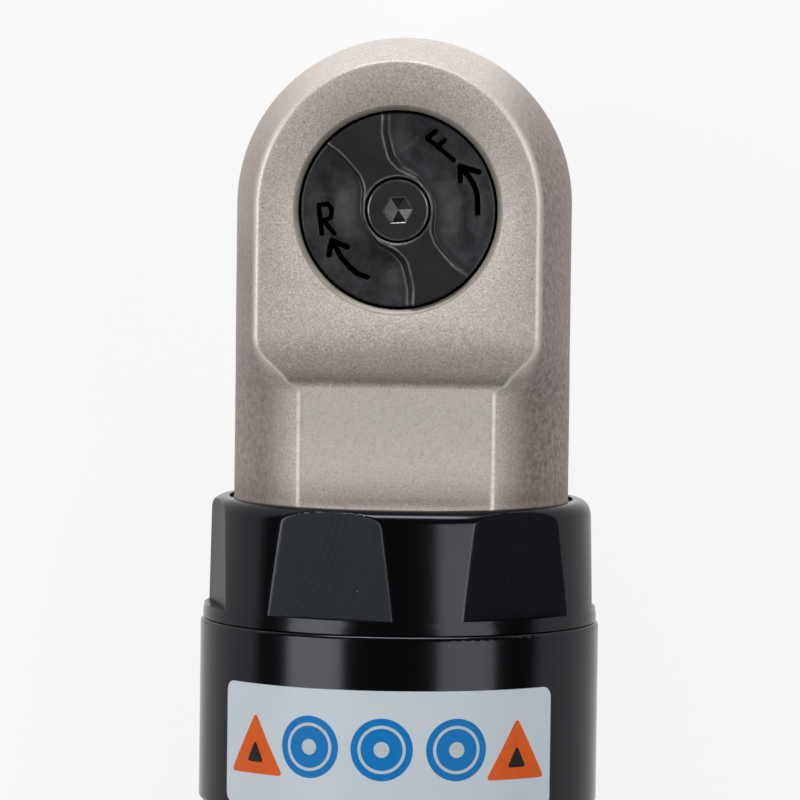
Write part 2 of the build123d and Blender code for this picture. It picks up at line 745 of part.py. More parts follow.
# Ball on the crank's pin, which rocks the yoke's prongs
with BuildPart() as drive_bushing:
    with BuildSketch(side) as ball_section:
        with Locations((ball_station, crank_throw)):
            Circle(bushing_ball)
            Rectangle(bushing_ball * 1.6, bushing_ball * 2, mode=Mode.INTERSECT)
            Rectangle(bushing_ball * 2, 2 * (crank_pin_radius + running), mode=Mode.SUBTRACT)
        with Locations((ball_station, crank_throw - bushing_ball)):
            Rectangle(bushing_ball * 2, bushing_ball * 2, mode=Mode.SUBTRACT)
    crank_pin_axis = Axis((0, 0, axis_z + crank_throw), (0, 1, 0))
    revolve(ball_section.sketch, axis=crank_pin_axis)
drive_bushing.part.label = "drive_bushing"
export_step(drive_bushing.part, "parts/drive_bushing.step")

# Crankshaft with its planet carrier
with BuildPart() as crankshaft:
    pin_front = ball_station - bushing_ball * 0.8
    with BuildSketch(across(pin_front, crank_throw)) as pin_circle:
        Circle(crank_pin_radius)
    extrude(pin_circle.sketch, amount=web_front - pin_front + web_thickness / 2)
    ring(web_front, web_rear, web_radius, 0)
    ring(web_rear, carrier_front, crank_journal, 0)
    ring(carrier_front, carrier_rear, planet_centre + planet_pin_radius + carrier_rim, 0)
    with BuildSketch(across(carrier_front)) as pin_holes:
        with PolarLocations(planet_centre, planet_count, start_angle=90):
            Circle(planet_pin_radius)
    extrude(pin_holes.sketch, amount=carrier_thickness, mode=Mode.SUBTRACT)
    chamfer(crankshaft.edges().sort_by(Axis.Y)[-1], 0.4)
crankshaft.part.label = "crankshaft"
export_step(crankshaft.part, "parts/crankshaft.step")

with BuildPart() as crank_bushing:
    ring(bushing_front, bushing_rear, bushing_outer, crank_journal + running)
crank_bushing.part.label = "crank_bushing"
export_step(crank_bushing.part, "parts/crank_bushing.step")

with BuildPart() as crank_bearing:
    bearing(bearing_front, crank_bearing_length, bearing_outer, crank_journal + running)
crank_bearing.part.label = "crank_bearing"
export_step(crank_bearing.part, "parts/crank_bearing.step")

with BuildPart() as planet_pins:
    with BuildSketch(across(carrier_front)) as pin_circles:
        with PolarLocations(planet_centre, planet_count, start_angle=90):
            Circle(planet_pin_radius)
    extrude(pin_circles.sketch, amount=planet_rear + 0.6 - carrier_front)
planet_pins.part.label = "planet_pins"
export_step(planet_pins.part, "parts/planet_pins.step")

# Planet gears, in mesh with the rotor's pinion inside and the fixed ring outside
addendum = 0.85 * gear_module
dedendum = 1.2 * gear_module
planet_pitch = gear_module * planet_teeth / 2
for number in range(planet_count):
    place = 90 + 360 / planet_count * number
    planet_x, planet_z = polar(planet_centre, place)
    planet_points = gear_outline(planet_teeth, planet_pitch + addendum, planet_pitch - dedendum,
                                 backlash, place)
    planet_plane = Plane(origin=(planet_x, -planet_front, axis_z + planet_z),
                         x_dir=(1, 0, 0), z_dir=(0, -1, 0))
    with BuildPart() as planet_gear:
        extrude(wheel_face(planet_plane, planet_points), amount=face_width)
        with BuildSketch(planet_plane) as planet_bore:
            Circle(planet_pin_radius + running)
        extrude(planet_bore.sketch, amount=face_width, mode=Mode.SUBTRACT)
    planet_gear.part.label = f"planet_gear_{number + 1}"
    export_step(planet_gear.part, f"parts/planet_gear_{number + 1}.step")

with BuildPart() as ring_gear:
    ring_pitch = gear_module * ring_teeth / 2
    ring(ring_front, ring_rear, ring_outer, 0)
    gap_points = gear_outline(ring_teeth, ring_pitch + dedendum, ring_pitch - addendum, -backlash, 90)
    extrude(wheel_face(across(ring_front), gap_points), amount=ring_rear - ring_front, mode=Mode.SUBTRACT)
ring_gear.part.label = "ring_gear"
export_step(ring_gear.part, "parts/ring_gear.step")

# Lock nut: it screws on the head's spigot against the gear case
with BuildPart() as lock_nut:
    nut_step = nut_front + nut_flat_length + 0.1
    nut_collar = case_radius - nut_collar_inset
    turn([(nut_front, thread_radius), (nut_front, nut_radius - nut_taper), (nut_step, nut_radius),
          (nut_step, nut_collar), (nut_rear, nut_collar), (nut_rear, thread_radius)])
    front_rim = lock_nut.edges().filter_by(GeomType.CIRCLE).group_by(Axis.Y)[-1].sort_by(SortBy.RADIUS)[-1]
    fillet(front_rim, nut_round)
    for number in range(6):
        flat_turn = nut_flat_turn + 60 * number
        across_nut = Plane(origin=(0, -nut_front, axis_z), z_dir=(0, -1, 0),
                           x_dir=(cos(radians(flat_turn)), 0, -sin(radians(flat_turn))))
        with BuildSketch(across_nut) as beyond_flat:
            with Locations((0, nut_flat + nut_radius)):
                Rectangle(2 * nut_radius, 2 * nut_radius)
        extrude(beyond_flat.sketch, amount=nut_flat_length, mode=Mode.SUBTRACT)
    bore(nut_front, nut_front + 1.0, thread_radius + 0.3)
lock_nut.part.label = "lock_nut"
export_step(lock_nut.part, "parts/lock_nut.step")

# Gear case
with BuildPart() as gear_case:
    turn([(nut_rear, thread_radius), (nut_rear, case_radius), (case_rear, case_radius),
          (case_rear, case_thread), (case_end, case_thread), (case_end, ring_outer),
          (ring_front - 0.1, ring_outer), (ring_front - 0.1, thread_radius)])
    case_rims = rims(gear_case, case_radius)
    fillet(case_rims, case_round)
gear_case.part.label = "gear_case"
export_step(gear_case.part, "parts/gear_case.step")

with BuildPart() as label:
    label_front = nut_rear + label_start
    label_face = Plane(origin=(0, 0, axis_z), x_dir=(0, -1, 0),
                       z_dir=(-cos(radians(label_right)), 0, sin(radians(label_right))))
    with BuildSketch(label_face) as label_section:
        with Locations((label_front + label_length / 2, case_radius + label_thickness / 2)):
            Rectangle(label_length, label_thickness)
    revolve(label_section.sketch, axis=tool_axis, revolution_arc=-(label_left + label_right))
    corners = label.edges().filter_by(lambda edge: abs(edge.length - label_thickness) < 0.01)
    fillet(corners, label_corner)
label.part.label = "label"
export_step(label.part, "parts/label.step")

# Motor: end plates, cylinder, rotor and vanes
with BuildPart() as gear_plate:
    ring(ring_rear + end_play, spacer_rear, ring_outer, rotor_journal + 1.0)
gear_plate.part.label = "gear_plate"
export_step(gear_plate.part, "parts/gear_plate.step")

with BuildPart() as front_end_plate:
    ring(front_plate, cylinder_front, ring_outer, rotor_journal + 0.6)
    bore(front_plate, front_plate + front_bearing_length + 0.2, front_bearing_radius)
    with BuildSketch(across(cylinder_front, -dowel_drop)) as front_dowel_hole:
        Circle(dowel_radius)
    extrude(front_dowel_hole.sketch, amount=-dowel_depth, mode=Mode.SUBTRACT)
front_end_plate.part.label = "front_end_plate"
export_step(front_end_plate.part, "parts/front_end_plate.step")

with BuildPart() as front_rotor_bearing:
    bearing(front_plate + 0.2, front_bearing_length, front_bearing_radius, rotor_journal + running)
front_rotor_bearing.part.label = "front_rotor_bearing"
export_step(front_rotor_bearing.part, "parts/front_rotor_bearing.step")

with BuildPart() as cylinder:
    ring(cylinder_front, cylinder_rear, cylinder_radius, 0)
    with BuildSketch(across(cylinder_front, cylinder_offset)) as cylinder_hole:
        Circle(cylinder_bore)
    extrude(cylinder_hole.sketch, amount=cylinder_rear - cylinder_front, mode=Mode.SUBTRACT)
    with BuildSketch(across(cylinder_front, -dowel_drop)) as dowel_hole:
        Circle(dowel_radius)
    extrude(dowel_hole.sketch, amount=cylinder_rear - cylinder_front, mode=Mode.SUBTRACT)
    for side_sign in (-1, 1):
        port_plane = Plane(origin=(0, 0, axis_z), x_dir=(0, -1, 0),
                           z_dir=(side_sign * sin(radians(exhaust_turn)), 0, -cos(radians(exhaust_turn))))
        with BuildSketch(port_plane) as ports:
            with GridLocations(port_pitch, 1, port_count, 1):
                Circle(port_radius)
        moved_ports = ports.sketch.moved(Location((0, -cylinder_middle, 0)))
        extrude(moved_ports, amount=cylinder_radius * 1.2, mode=Mode.SUBTRACT)
        groove_front = cylinder_middle - port_pitch * port_count / 2
        with BuildSketch(port_plane.offset(cylinder_radius - 1.2)) as groove:
            with Locations(((groove_front + cylinder_rear) / 2, 0)):
                Rectangle(cylinder_rear - groove_front, port_radius * 2.6)
        extrude(groove.sketch, amount=port_radius * 2, mode=Mode.SUBTRACT)
cylinder.part.label = "cylinder"
export_step(cylinder.part, "parts/cylinder.step")

with BuildPart() as rear_end_plate:
    ring(cylinder_rear, rear_plate_end, cylinder_radius, rear_journal + 0.6)
    bore(rear_plate_end - rear_bearing_length - 0.6, rear_plate_end, rear_bearing_radius)
    with BuildSketch(across(cylinder_rear)) as plate_ports:
        with PolarLocations(rotor_radius - 1.0, 2, start_angle=60, angular_range=60):
            SlotOverall(2 * exhaust_radius, exhaust_radius, rotation=90)
        with Locations(*exhaust_places):
            Circle(exhaust_radius)
        with Locations((0, -dowel_drop)):
            Circle(dowel_radius)
    extrude(plate_ports.sketch, amount=rear_plate_thickness, mode=Mode.SUBTRACT)
rear_end_plate.part.label = "rear_end_plate"
export_step(rear_end_plate.part, "parts/rear_end_plate.step")

with BuildPart() as rear_rotor_bearing:
    bearing(rear_plate_end - rear_bearing_length - 0.3, rear_bearing_length, rear_bearing_radius,
            rear_journal + running)
rear_rotor_bearing.part.label = "rear_rotor_bearing"
export_step(rear_rotor_bearing.part, "parts/rear_rotor_bearing.step")

with BuildPart() as motor_dowel:
    with BuildSketch(across(cylinder_front - dowel_depth, -dowel_drop)) as dowel:
        Circle(dowel_radius)
    extrude(dowel.sketch, amount=rear_plate_end - cylinder_front + dowel_depth)
motor_dowel.part.label = "motor_dowel"
export_step(motor_dowel.part, "parts/motor_dowel.step")

with BuildPart() as motor_gasket:
    with BuildSketch(across(rear_plate_end)):
        Circle(cylinder_radius)
        Circle(rear_bearing_radius, mode=Mode.SUBTRACT)
        with BuildSketch(mode=Mode.SUBTRACT):
            Circle(plenum_radius)
            with Locations((0, plenum_radius)):
                Rectangle(2 * plenum_radius, 2 * plenum_radius, mode=Mode.INTERSECT)
        with Locations(*exhaust_places):
            Circle(exhaust_radius, mode=Mode.SUBTRACT)
    extrude(amount=gasket_thickness)
motor_gasket.part.label = "motor_gasket"
export_step(motor_gasket.part, "parts/motor_gasket.step")

sun_pitch = gear_module * sun_teeth / 2
with BuildPart() as rotor:
    ring(rotor_front, rotor_rear, rotor_radius, 0)
    with BuildSketch(across(rotor_front)) as slots:
        with PolarLocations(rotor_radius - vane_height / 2, vane_count, start_angle=90):
            Rectangle(vane_height + 0.6, vane_thickness + 2 * slot_clearance)
    extrude(slots.sketch, amount=rotor_length, mode=Mode.SUBTRACT)
    ring(ring_rear + end_play, rotor_front, rotor_journal, 0)
    ring(rotor_rear, rear_plate_end - 0.1, rear_journal, 0)
    sun_points = gear_outline(sun_teeth, sun_pitch + addendum, sun_pitch - dedendum, backlash, 90)
    sun_front = planet_front - 0.2
    extrude(wheel_face(across(sun_front), sun_points), amount=ring_rear + end_play - sun_front)
rotor.part.label = "rotor"
export_step(rotor.part, "parts/rotor.step")

for number in range(vane_count):
    with BuildPart() as vane:
        with BuildSketch(across(rotor_front + 0.2)) as vane_section:
            with Locations(polar(rotor_radius - vane_height / 2, 90 + 360 / vane_count * number)):
                Rectangle(vane_height - 0.2, vane_thickness, rotation=90 + 360 / vane_count * number)
        extrude(vane_section.sketch, amount=rotor_length - 0.4)
    vane.part.label = f"vane_{number + 1}"
    export_step(vane.part, f"parts/vane_{number + 1}.step")

# Handle: one casting that holds the motor, the throttle's valve and the air passages
with BuildPart() as handle_body:
    with BuildSketch(side) as handle_section:
        with BuildLine():
            shoulder = (grip_start - 2.5, handle_front_radius)
            rear_start = handle_rear - handle_rear_length
            waist = ((grip_end + handle_rear) / 2, handle_rear_radius - handle_waist)
            Polyline((case_rear, 0), (case_rear, handle_front_radius), shoulder)
            Spline(shoulder, (grip_start, handle_core_radius), tangents=[(1, 0), (0, -1)],
                   tangent_scalars=[0.4, 0.4])
            Polyline((grip_start, handle_core_radius), (grip_end, handle_core_radius),
                     (grip_end, grip_radius - 0.2))
            Spline((grip_end, grip_radius - 0.2), waist, (rear_start, handle_rear_radius),
                   tangents=[(1, 0), (1, 0)])
            bevel_start = handle_rear - handle_rear_bevel
            bevel_end = (handle_rear, handle_rear_radius - handle_rear_bevel)
            Polyline((rear_start, handle_rear_radius), (bevel_start, handle_rear_radius),
                     bevel_end, (handle_rear, 0), (case_rear, 0))
        make_face()
    revolve(handle_section.sketch, axis=tool_axis)
    # Flat and ears of the throttle lever
    with BuildSketch(across(lever_flat_start)) as above_flat:
        with Locations((0, lever_flat + handle_rear_radius / 2)):
            Rectangle(3 * handle_rear_radius, handle_rear_radius)
    extrude(above_flat.sketch, amount=lever_flat_end - lever_flat_start, mode=Mode.SUBTRACT)
    for side_sign in (-1, 1):
        ear_inner = lever_eye_width / 2 + free_gap
        with BuildSketch(side.offset(-side_sign * ear_inner)) as ear:
            with Locations((lever_station, lever_height)):
                Circle(lever_eye + 1.0)
            with Locations((lever_station, (lever_height + lever_flat - 2) / 2)):
                Rectangle(2 * lever_eye + 2.0, lever_height - lever_flat + 2)
        extrude(ear.sketch, amount=-side_sign * ear_thickness)
    with BuildSketch(side) as pin_bore:
        with Locations((lever_station, lever_height)):
            Circle(lever_pin_radius)
    extrude(pin_bore.sketch, amount=handle_rear_radius, both=True, mode=Mode.SUBTRACT)
    # Bores of the gear case and the motor
    bore(case_rear, case_end, case_thread)
    bore(case_end, motor_end, motor_bore)
    with BuildSketch(across(motor_end)) as plenum:
        Circle(plenum_radius)
        with Locations((0, plenum_radius)):
            Rectangle(2 * plenum_radius, 2 * plenum_radius, mode=Mode.INTERSECT)
    extrude(plenum.sketch, amount=plenum_depth, mode=Mode.SUBTRACT)
    # Exhaust channels to the muffler's chamber
    with BuildSketch(across(motor_end)) as exhaust_channels:
        with Locations(*exhaust_places):
            Circle(exhaust_radius)
    extrude(exhaust_channels.sketch, amount=muffler_front - motor_end + 1, mode=Mode.SUBTRACT)
    ring(muffler_front, handle_rear, muffler_chamber, collar_radius + 0.5, Mode.SUBTRACT)
    # Valve: guide, gallery, seat and the chamber that the plug closes
    post(seat_height, handle_rear_radius, gallery_radius, Mode.SUBTRACT)
    post(0, seat_height, seat_radius, Mode.SUBTRACT)
    post(-handle_rear_radius * 1.2, 0, valve_chamber, Mode.SUBTRACT)
    # Passages from the inlet to the valve and from the valve to the motor
    with BuildSketch(across(motor_end, passage_height)) as outlet:
        Circle(passage_radius)
    extrude(outlet.sketch, amount=valve_station - motor_end, mode=Mode.SUBTRACT)
    with BuildSketch(across(valve_station, -inlet_bore)) as inlet_passage:
        Circle(inlet_bore - 0.5)
    extrude(inlet_passage.sketch, amount=stem_front - valve_station, mode=Mode.SUBTRACT)
    bore(stem_front - 5 * screen_thickness, collar_front, inlet_stem)
    bore(collar_front, handle_rear, collar_radius)
handle_body.part.label = "handle_body"
export_step(handle_body.part, "parts/handle_body.step")

with BuildPart() as grip_sleeve:
    ring(grip_start, grip_end, grip_radius, handle_core_radius)
    fillet(rims(grip_sleeve, grip_radius), 0.8)
    groove_pitch = (grip_end - grip_start) / (groove_count + 1)
    for number in range(groove_count):
        middle = grip_start + groove_pitch * (number + 1)
        ring(middle - groove_width / 2, middle + groove_width / 2, grip_radius + 1,
             grip_radius - groove_depth, Mode.SUBTRACT)
grip_sleeve.part.label = "grip_sleeve"
export_step(grip_sleeve.part, "parts/grip_sleeve.step")

# Throttle lever, pin, valve and its spring
lever_slope = tan(radians(lever_stroke))
lever_under = lever_height - 0.6
heel = lever_station - lever_eye - 2
tip_under = lever_under + (heel - lever_tip) * lever_slope
tip_over = tip_under + lever_thickness
with BuildPart() as throttle_lever:
    with BuildSketch(side) as lever_side:
        with BuildLine():
            under = Polyline((lever_station, lever_height - lever_eye), (heel, lever_under),
                             (lever_tip + lever_nose, tip_under - lever_nose * lever_slope))
            nose = Spline(under @ 1, (lever_tip + lever_nose / 5, tip_under + lever_thickness / 8),
                          (lever_tip, tip_under + lever_thickness * 0.58))
            middle = (lever_tip + heel) / 2
            upper = Spline(nose @ 1, (lever_tip + lever_nose * 0.57, tip_over - lever_thickness * 0.15),
                           (middle, (lever_under + tip_over) / 2 + lever_thickness * 0.6),
                           (lever_station, lever_height + lever_eye))
            Polyline(upper @ 1, (lever_station, lever_height - lever_eye))
        make_face()
        with Locations((lever_station, lever_height)):
            Circle(lever_eye)
    extrude(lever_side.sketch, amount=lever_width / 2, both=True)
    for side_sign in (-1, 1):
        with BuildSketch(side.offset(-side_sign * lever_eye_width / 2)) as beside_eye:
            with Locations((lever_station, lever_height)):
                Rectangle(4 * lever_eye + 2, 8 * lever_eye)
        extrude(beside_eye.sketch, amount=-side_sign * lever_width, mode=Mode.SUBTRACT)
    with BuildSketch(side) as lever_bore:
        with Locations((lever_station, lever_height)):
            Circle(lever_pin_radius + running)
    extrude(lever_bore.sketch, amount=lever_width, both=True, mode=Mode.SUBTRACT)
throttle_lever.part.label = "throttle_lever"
export_step(throttle_lever.part, "parts/throttle_lever.step")

with BuildPart() as lever_pin:
    with BuildSketch(side) as lever_pin_section:
        with Locations((lever_station, lever_height)):
            Circle(lever_pin_radius)
    extrude(lever_pin_section.sketch, amount=lever_eye_width / 2 + free_gap + ear_thickness, both=True)
lever_pin.part.label = "lever_pin"
export_step(lever_pin.part, "parts/lever_pin.step")

stem_top = lever_under + (heel - valve_station - stem_radius) * lever_slope - free_gap
disc_top = -end_play
disc_bottom = disc_top - valve_disc_thickness
with BuildPart() as throttle_valve:
    post(disc_top, stem_top, stem_radius)
    fillet(throttle_valve.edges().sort_by(Axis.Z)[-1], 0.6)
    post(disc_bottom, disc_top, valve_disc)
    post(disc_bottom - valve_tail, disc_bottom, spring_radius - spring_wire - 0.6)
throttle_valve.part.label = "throttle_valve"
export_step(throttle_valve.part, "parts/throttle_valve.step")

with BuildPart() as valve_guide:
    post(lever_flat - guide_length, lever_flat, gallery_radius)
    post(lever_flat - guide_length, lever_flat, stem_radius + running, Mode.SUBTRACT)
valve_guide.part.label = "valve_guide"
export_step(valve_guide.part, "parts/valve_guide.step")

with BuildPart() as valve_spring:
    spring_plane = Plane(origin=(0, -valve_station, axis_z + spring_floor), z_dir=(0, 0, 1))
    coil(spring_plane, spring_radius, spring_wire, spring_turns, disc_bottom - spring_floor)
valve_spring.part.label = "valve_spring"
export_step(valve_spring.part, "parts/valve_spring.step")

with BuildPart() as valve_plug:
    plug_bottom = plug_inset - sqrt(handle_rear_radius ** 2 - valve_chamber ** 2)
    post(plug_bottom, spring_floor, valve_chamber)
    with BuildSketch(level(plug_bottom)) as plug_key:
        with Locations((0, -valve_station)):
            Rectangle(valve_chamber * 1.4, plug_slot)
    extrude(plug_key.sketch, amount=plug_slot, mode=Mode.SUBTRACT)
valve_plug.part.label = "valve_plug"
export_step(valve_plug.part, "parts/valve_plug.step")

# Air inlet with its screen, and the exhaust round it
with BuildPart() as inlet_bushing:
    turn([(stem_front, 0), (stem_front, inlet_stem), (collar_front, inlet_stem),
          (collar_front, collar_radius), (flange_front, collar_radius), (flange_front, flange_radius),
          (hex_front, flange_radius), (hex_front, 0)])
    with BuildSketch(across(hex_front)) as hex_section:
        RegularPolygon(hex_across_flats / 2, 6, major_radius=False, rotation=30)
        Circle(flange_radius - 1.6, mode=Mode.INTERSECT)
    extrude(hex_section.sketch, amount=hex_length)
    bore(stem_front, inlet_end, inlet_bore)
    bore(inlet_end - inlet_thread_length, inlet_end, inlet_thread)
    mouth = inlet_bushing.edges().filter_by(GeomType.CIRCLE).group_by(Axis.Y)[0].sort_by(SortBy.RADIUS)[0]
    chamfer(mouth, 0.6)
inlet_bushing.part.label = "inlet_bushing"
export_step(inlet_bushing.part, "parts/inlet_bushing.step")

with BuildPart() as inlet_screen:
    with BuildSketch(across(stem_front - screen_thickness)):
        Circle(inlet_stem)
        with PolarLocations(inlet_bore * 0.6, 6):
            Circle(screen_hole, mode=Mode.SUBTRACT)
        Circle(screen_hole, mode=Mode.SUBTRACT)
    extrude(amount=screen_thickness)
inlet_screen.part.label = "inlet_screen"
export_step(inlet_screen.part, "parts/inlet_screen.step")

with BuildPart() as muffler:
    ring(muffler_front + free_gap, handle_rear - 1.0, muffler_chamber - muffler_gap,
         collar_radius + 0.5 + muffler_gap)
muffler.part.label = "muffler"
export_step(muffler.part, "parts/muffler.step")

with BuildPart() as exhaust_deflector:
    deflector_front = handle_rear + end_play * 2
    deflector_rear = deflector_front + deflector_length
    hub = collar_radius + running
    turn([(deflector_front, deflector_radius - deflector_wall), (deflector_front, deflector_radius),
          (deflector_rear - deflector_bevel, deflector_radius),
          (deflector_rear, deflector_radius - deflector_bevel),
          (deflector_rear, hub), (deflector_front + 1, hub), (deflector_front + 1, hub + 1.2),
          (deflector_rear - deflector_wall, hub + 1.2),
          (deflector_rear - deflector_wall, deflector_radius - deflector_wall)])
    with BuildSketch(across(deflector_rear - deflector_wall - 0.5)) as vents:
        with PolarLocations((hub + deflector_radius) / 2, vent_count, start_angle=-170, angular_range=160):
            Rectangle(vent_length, vent_width)
    extrude(vents.sketch, amount=deflector_wall + 1, mode=Mode.SUBTRACT)
exhaust_deflector.part.label = "exhaust_deflector"
export_step(exhaust_deflector.part, "parts/exhaust_deflector.step")
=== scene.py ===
"""Looks of the air ratchet wrench: finishes, detailed pieces, floor, light and camera."""

import json
import math

import bmesh
import bpy
import numpy as np
from mathutils import Matrix, Vector


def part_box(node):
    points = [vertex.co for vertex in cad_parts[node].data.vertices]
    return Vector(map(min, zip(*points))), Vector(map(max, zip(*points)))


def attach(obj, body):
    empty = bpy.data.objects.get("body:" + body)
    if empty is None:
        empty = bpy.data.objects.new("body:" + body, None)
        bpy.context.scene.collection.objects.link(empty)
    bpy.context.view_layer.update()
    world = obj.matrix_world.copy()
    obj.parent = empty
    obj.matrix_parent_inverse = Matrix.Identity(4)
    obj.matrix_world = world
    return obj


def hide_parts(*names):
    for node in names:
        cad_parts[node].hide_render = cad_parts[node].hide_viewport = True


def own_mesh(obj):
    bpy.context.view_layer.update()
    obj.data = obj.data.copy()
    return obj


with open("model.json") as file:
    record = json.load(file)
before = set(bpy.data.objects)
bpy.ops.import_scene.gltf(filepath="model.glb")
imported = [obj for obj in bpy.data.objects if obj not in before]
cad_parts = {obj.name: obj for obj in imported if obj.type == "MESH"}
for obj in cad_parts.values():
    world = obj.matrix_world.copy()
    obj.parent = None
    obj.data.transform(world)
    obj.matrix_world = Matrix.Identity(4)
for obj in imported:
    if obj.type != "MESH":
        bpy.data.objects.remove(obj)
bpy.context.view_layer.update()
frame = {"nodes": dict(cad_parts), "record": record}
nodes = frame["nodes"]
MM = 0.001

# Height of the tool's axis, in metres and in millimetres
AXIS_Z = (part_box("grip_sleeve")[0].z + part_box("grip_sleeve")[1].z) / 2
AXIS = AXIS_Z / MM


# Shader helpers

class Shader:
    """A material whose nodes are added by short calls. Sizes are in millimetres."""

    def __init__(self, name):
        self.material = bpy.data.materials.new(name)
        self.material.use_nodes = True
        self.tree = self.material.node_tree
        self.tree.nodes.clear()
        self.output = self.tree.nodes.new("ShaderNodeOutputMaterial")
        self.surface = self.tree.nodes.new("ShaderNodeBsdfPrincipled")
        self.link(self.surface.outputs["BSDF"], self.output.inputs["Surface"])
        self.place = self.tree.nodes.new("ShaderNodeTexCoord").outputs["Object"]

    def link(self, source, target):
        self.tree.links.new(source, target)

    def feed(self, target, value):
        """Set a socket to a plain value or join it to another node's output."""
        if isinstance(value, bpy.types.NodeSocket):
            self.link(value, target)
        elif hasattr(target.default_value, "__len__") and not hasattr(value, "__len__"):
            target.default_value = [value] * len(target.default_value)
        elif hasattr(value, "__len__") and len(value) == 3 and len(target.default_value) == 4:
            target.default_value = (*value, 1)
        else:
            target.default_value = value

    def set(self, **values):
        """Set inputs of the surface, named with underscores."""
        for name, value in values.items():
            self.feed(self.surface.inputs[name.replace("_", " ")], value)

    def node(self, kind, outcome, settings=None, **values):
        made = self.tree.nodes.new("ShaderNode" + kind)
        for name, value in (settings or {}).items():
            setattr(made, name, value)
        for name, value in values.items():
            self.feed(made.inputs[name.replace("_", " ")], value)
        return made.outputs[outcome]

    def noise(self, size, detail=3.0, roughness=0.5, stretch=None):
        """Noise with features of about a size."""
        place = self.place
        if stretch:
            place = self.node("Mapping", "Vector", Vector=place, Scale=stretch)
        return self.node("TexNoise", "Fac", Vector=place, Scale=1 / (size * MM), Detail=detail,
                         Roughness=roughness)

    def cells(self, size):
        return self.node("TexVoronoi", "Distance", Vector=self.place, Scale=1 / (size * MM))

    def ramp(self, value, *stops):
        """Greys at places from 0 to 1."""
        made = self.tree.nodes.new("ShaderNodeValToRGB")
        self.link(value, made.inputs["Fac"])
        for element, (place, grey) in zip(made.color_ramp.elements, stops):
            element.position = place
            element.color = (grey, grey, grey, 1)
        return made.outputs["Color"]

    def math(self, kind, first, second):
        made = self.tree.nodes.new("ShaderNodeMath")
        made.operation = kind
        self.feed(made.inputs[0], first)
        self.feed(made.inputs[1], second)
        return made.outputs[0]

    def times(self, first, second):
        return self.math("MULTIPLY", first, second)

    def plus(self, start, share, spread):
        """A start with a share of a spread added."""
        return self.math("ADD", start, self.times(share, spread))

    def mix(self, share, first, second):
        made = self.tree.nodes.new("ShaderNodeMix")
        made.data_type = "RGBA"
        for number, value in ((0, share), (6, first), (7, second)):
            self.feed(made.inputs[number], value)
        return made.outputs[2]

    def attribute(self, name):
        return self.node("Attribute", "Fac", {"attribute_name": name})

    def bump(self, height, strength, distance, under=None):
        made = self.tree.nodes.new("ShaderNodeBump")
        made.inputs["Strength"].default_value = strength
        made.inputs["Distance"].default_value = distance * MM
        self.link(height, made.inputs["Height"])
        if under is not None:
            self.link(under, made.inputs["Normal"])
        return made.outputs["Normal"]


def linear(red, green, blue):
    """A colour as it is seen on a screen, in 0 to 255, made linear."""
    parts = (red / 255, green / 255, blue / 255)
    return tuple(c / 12.92 if c <= 0.04045 else ((c + 0.055) / 1.055) ** 2.4 for c in parts)


# Finishes

def plain(name, noise, dark, light, metallic, rough, relief, grain=None, **more):
    """A finish in which one noise mixes two colours.

    A noise or grain is its size, detail, roughness and stretch. Rough is the roughness, and what the noise
    adds to it. Relief is the strength and depth of bumps that follow the grain, or else the noise."""
    m = Shader(name)
    cloud = m.noise(*noise)
    m.set(Base_Color=m.mix(cloud, linear(*dark), linear(*light)), Metallic=metallic)
    m.set(Roughness=m.plus(rough[0], cloud, rough[1]) if len(rough) > 1 else rough[0])
    m.set(Normal=m.bump(m.noise(*grain) if grain else cloud, *relief), **more)
    return m.material


def blasted_nickel():
    """Nickel plate over bead-blasted steel: matt and sandy, its edges brighter from rubbing and a painted
    highlight, with painted shade on its flanks and beside the nut.
    """
    m = Shader("blasted_nickel")
    grain, coarse, patches = m.noise(0.24, 4, 0.7), m.noise(0.7, 3, 0.6), m.noise(6, 4, 0.6)
    base = m.mix(m.ramp(grain, (0.34, 0.0), (0.66, 1.0)), linear(168, 160, 152), linear(238, 231, 222))
    for stain, share, colour in ((coarse, 0.35, (178, 167, 158)), (patches, 0.3, (196, 184, 175))):
        base = m.mix(m.times(m.ramp(stain, (0.35, 0.0), (0.65, 1.0)), share), base, linear(*colour))
    # Painted shade on the flanks, a darker pinkish grey
    flank_shade = m.mix(m.ramp(coarse, (0.3, 0.0), (0.7, 1.0)), linear(110, 93, 90), linear(158, 143, 138))
    base = m.mix(m.attribute("flank"), base, flank_shade)
    pits = m.ramp(m.noise(0.42, 2, 0.6), (0.27, 1.0), (0.34, 0.0))
    base = m.mix(m.times(pits, 0.5), base, linear(88, 78, 72))
    # A darker speckled line at the roll's foot, and painted shade on the neck beside the nut
    speckle = m.ramp(m.noise(0.5, 3, 0.6), (0.3, 0.35), (0.7, 0.85))
    base = m.mix(m.times(m.attribute("grime"), speckle), base, linear(112, 102, 92))
    # Edges brighter from wear and a painted highlight
    wear = m.times(m.attribute("wear"), m.ramp(m.noise(0.5, 4, 0.7), (0.3, 0.45), (0.55, 1.0)))
    m.set(Base_Color=m.mix(wear, base, linear(240, 233, 226)), Metallic=0.4)
    m.set(Roughness=m.math("SUBTRACT", m.plus(0.5, grain, 0.12), m.times(wear, 0.1)))
    m.set(Normal=m.bump(coarse, 0.35, 0.1, m.bump(grain, 0.5, 0.06)))
    return m.material


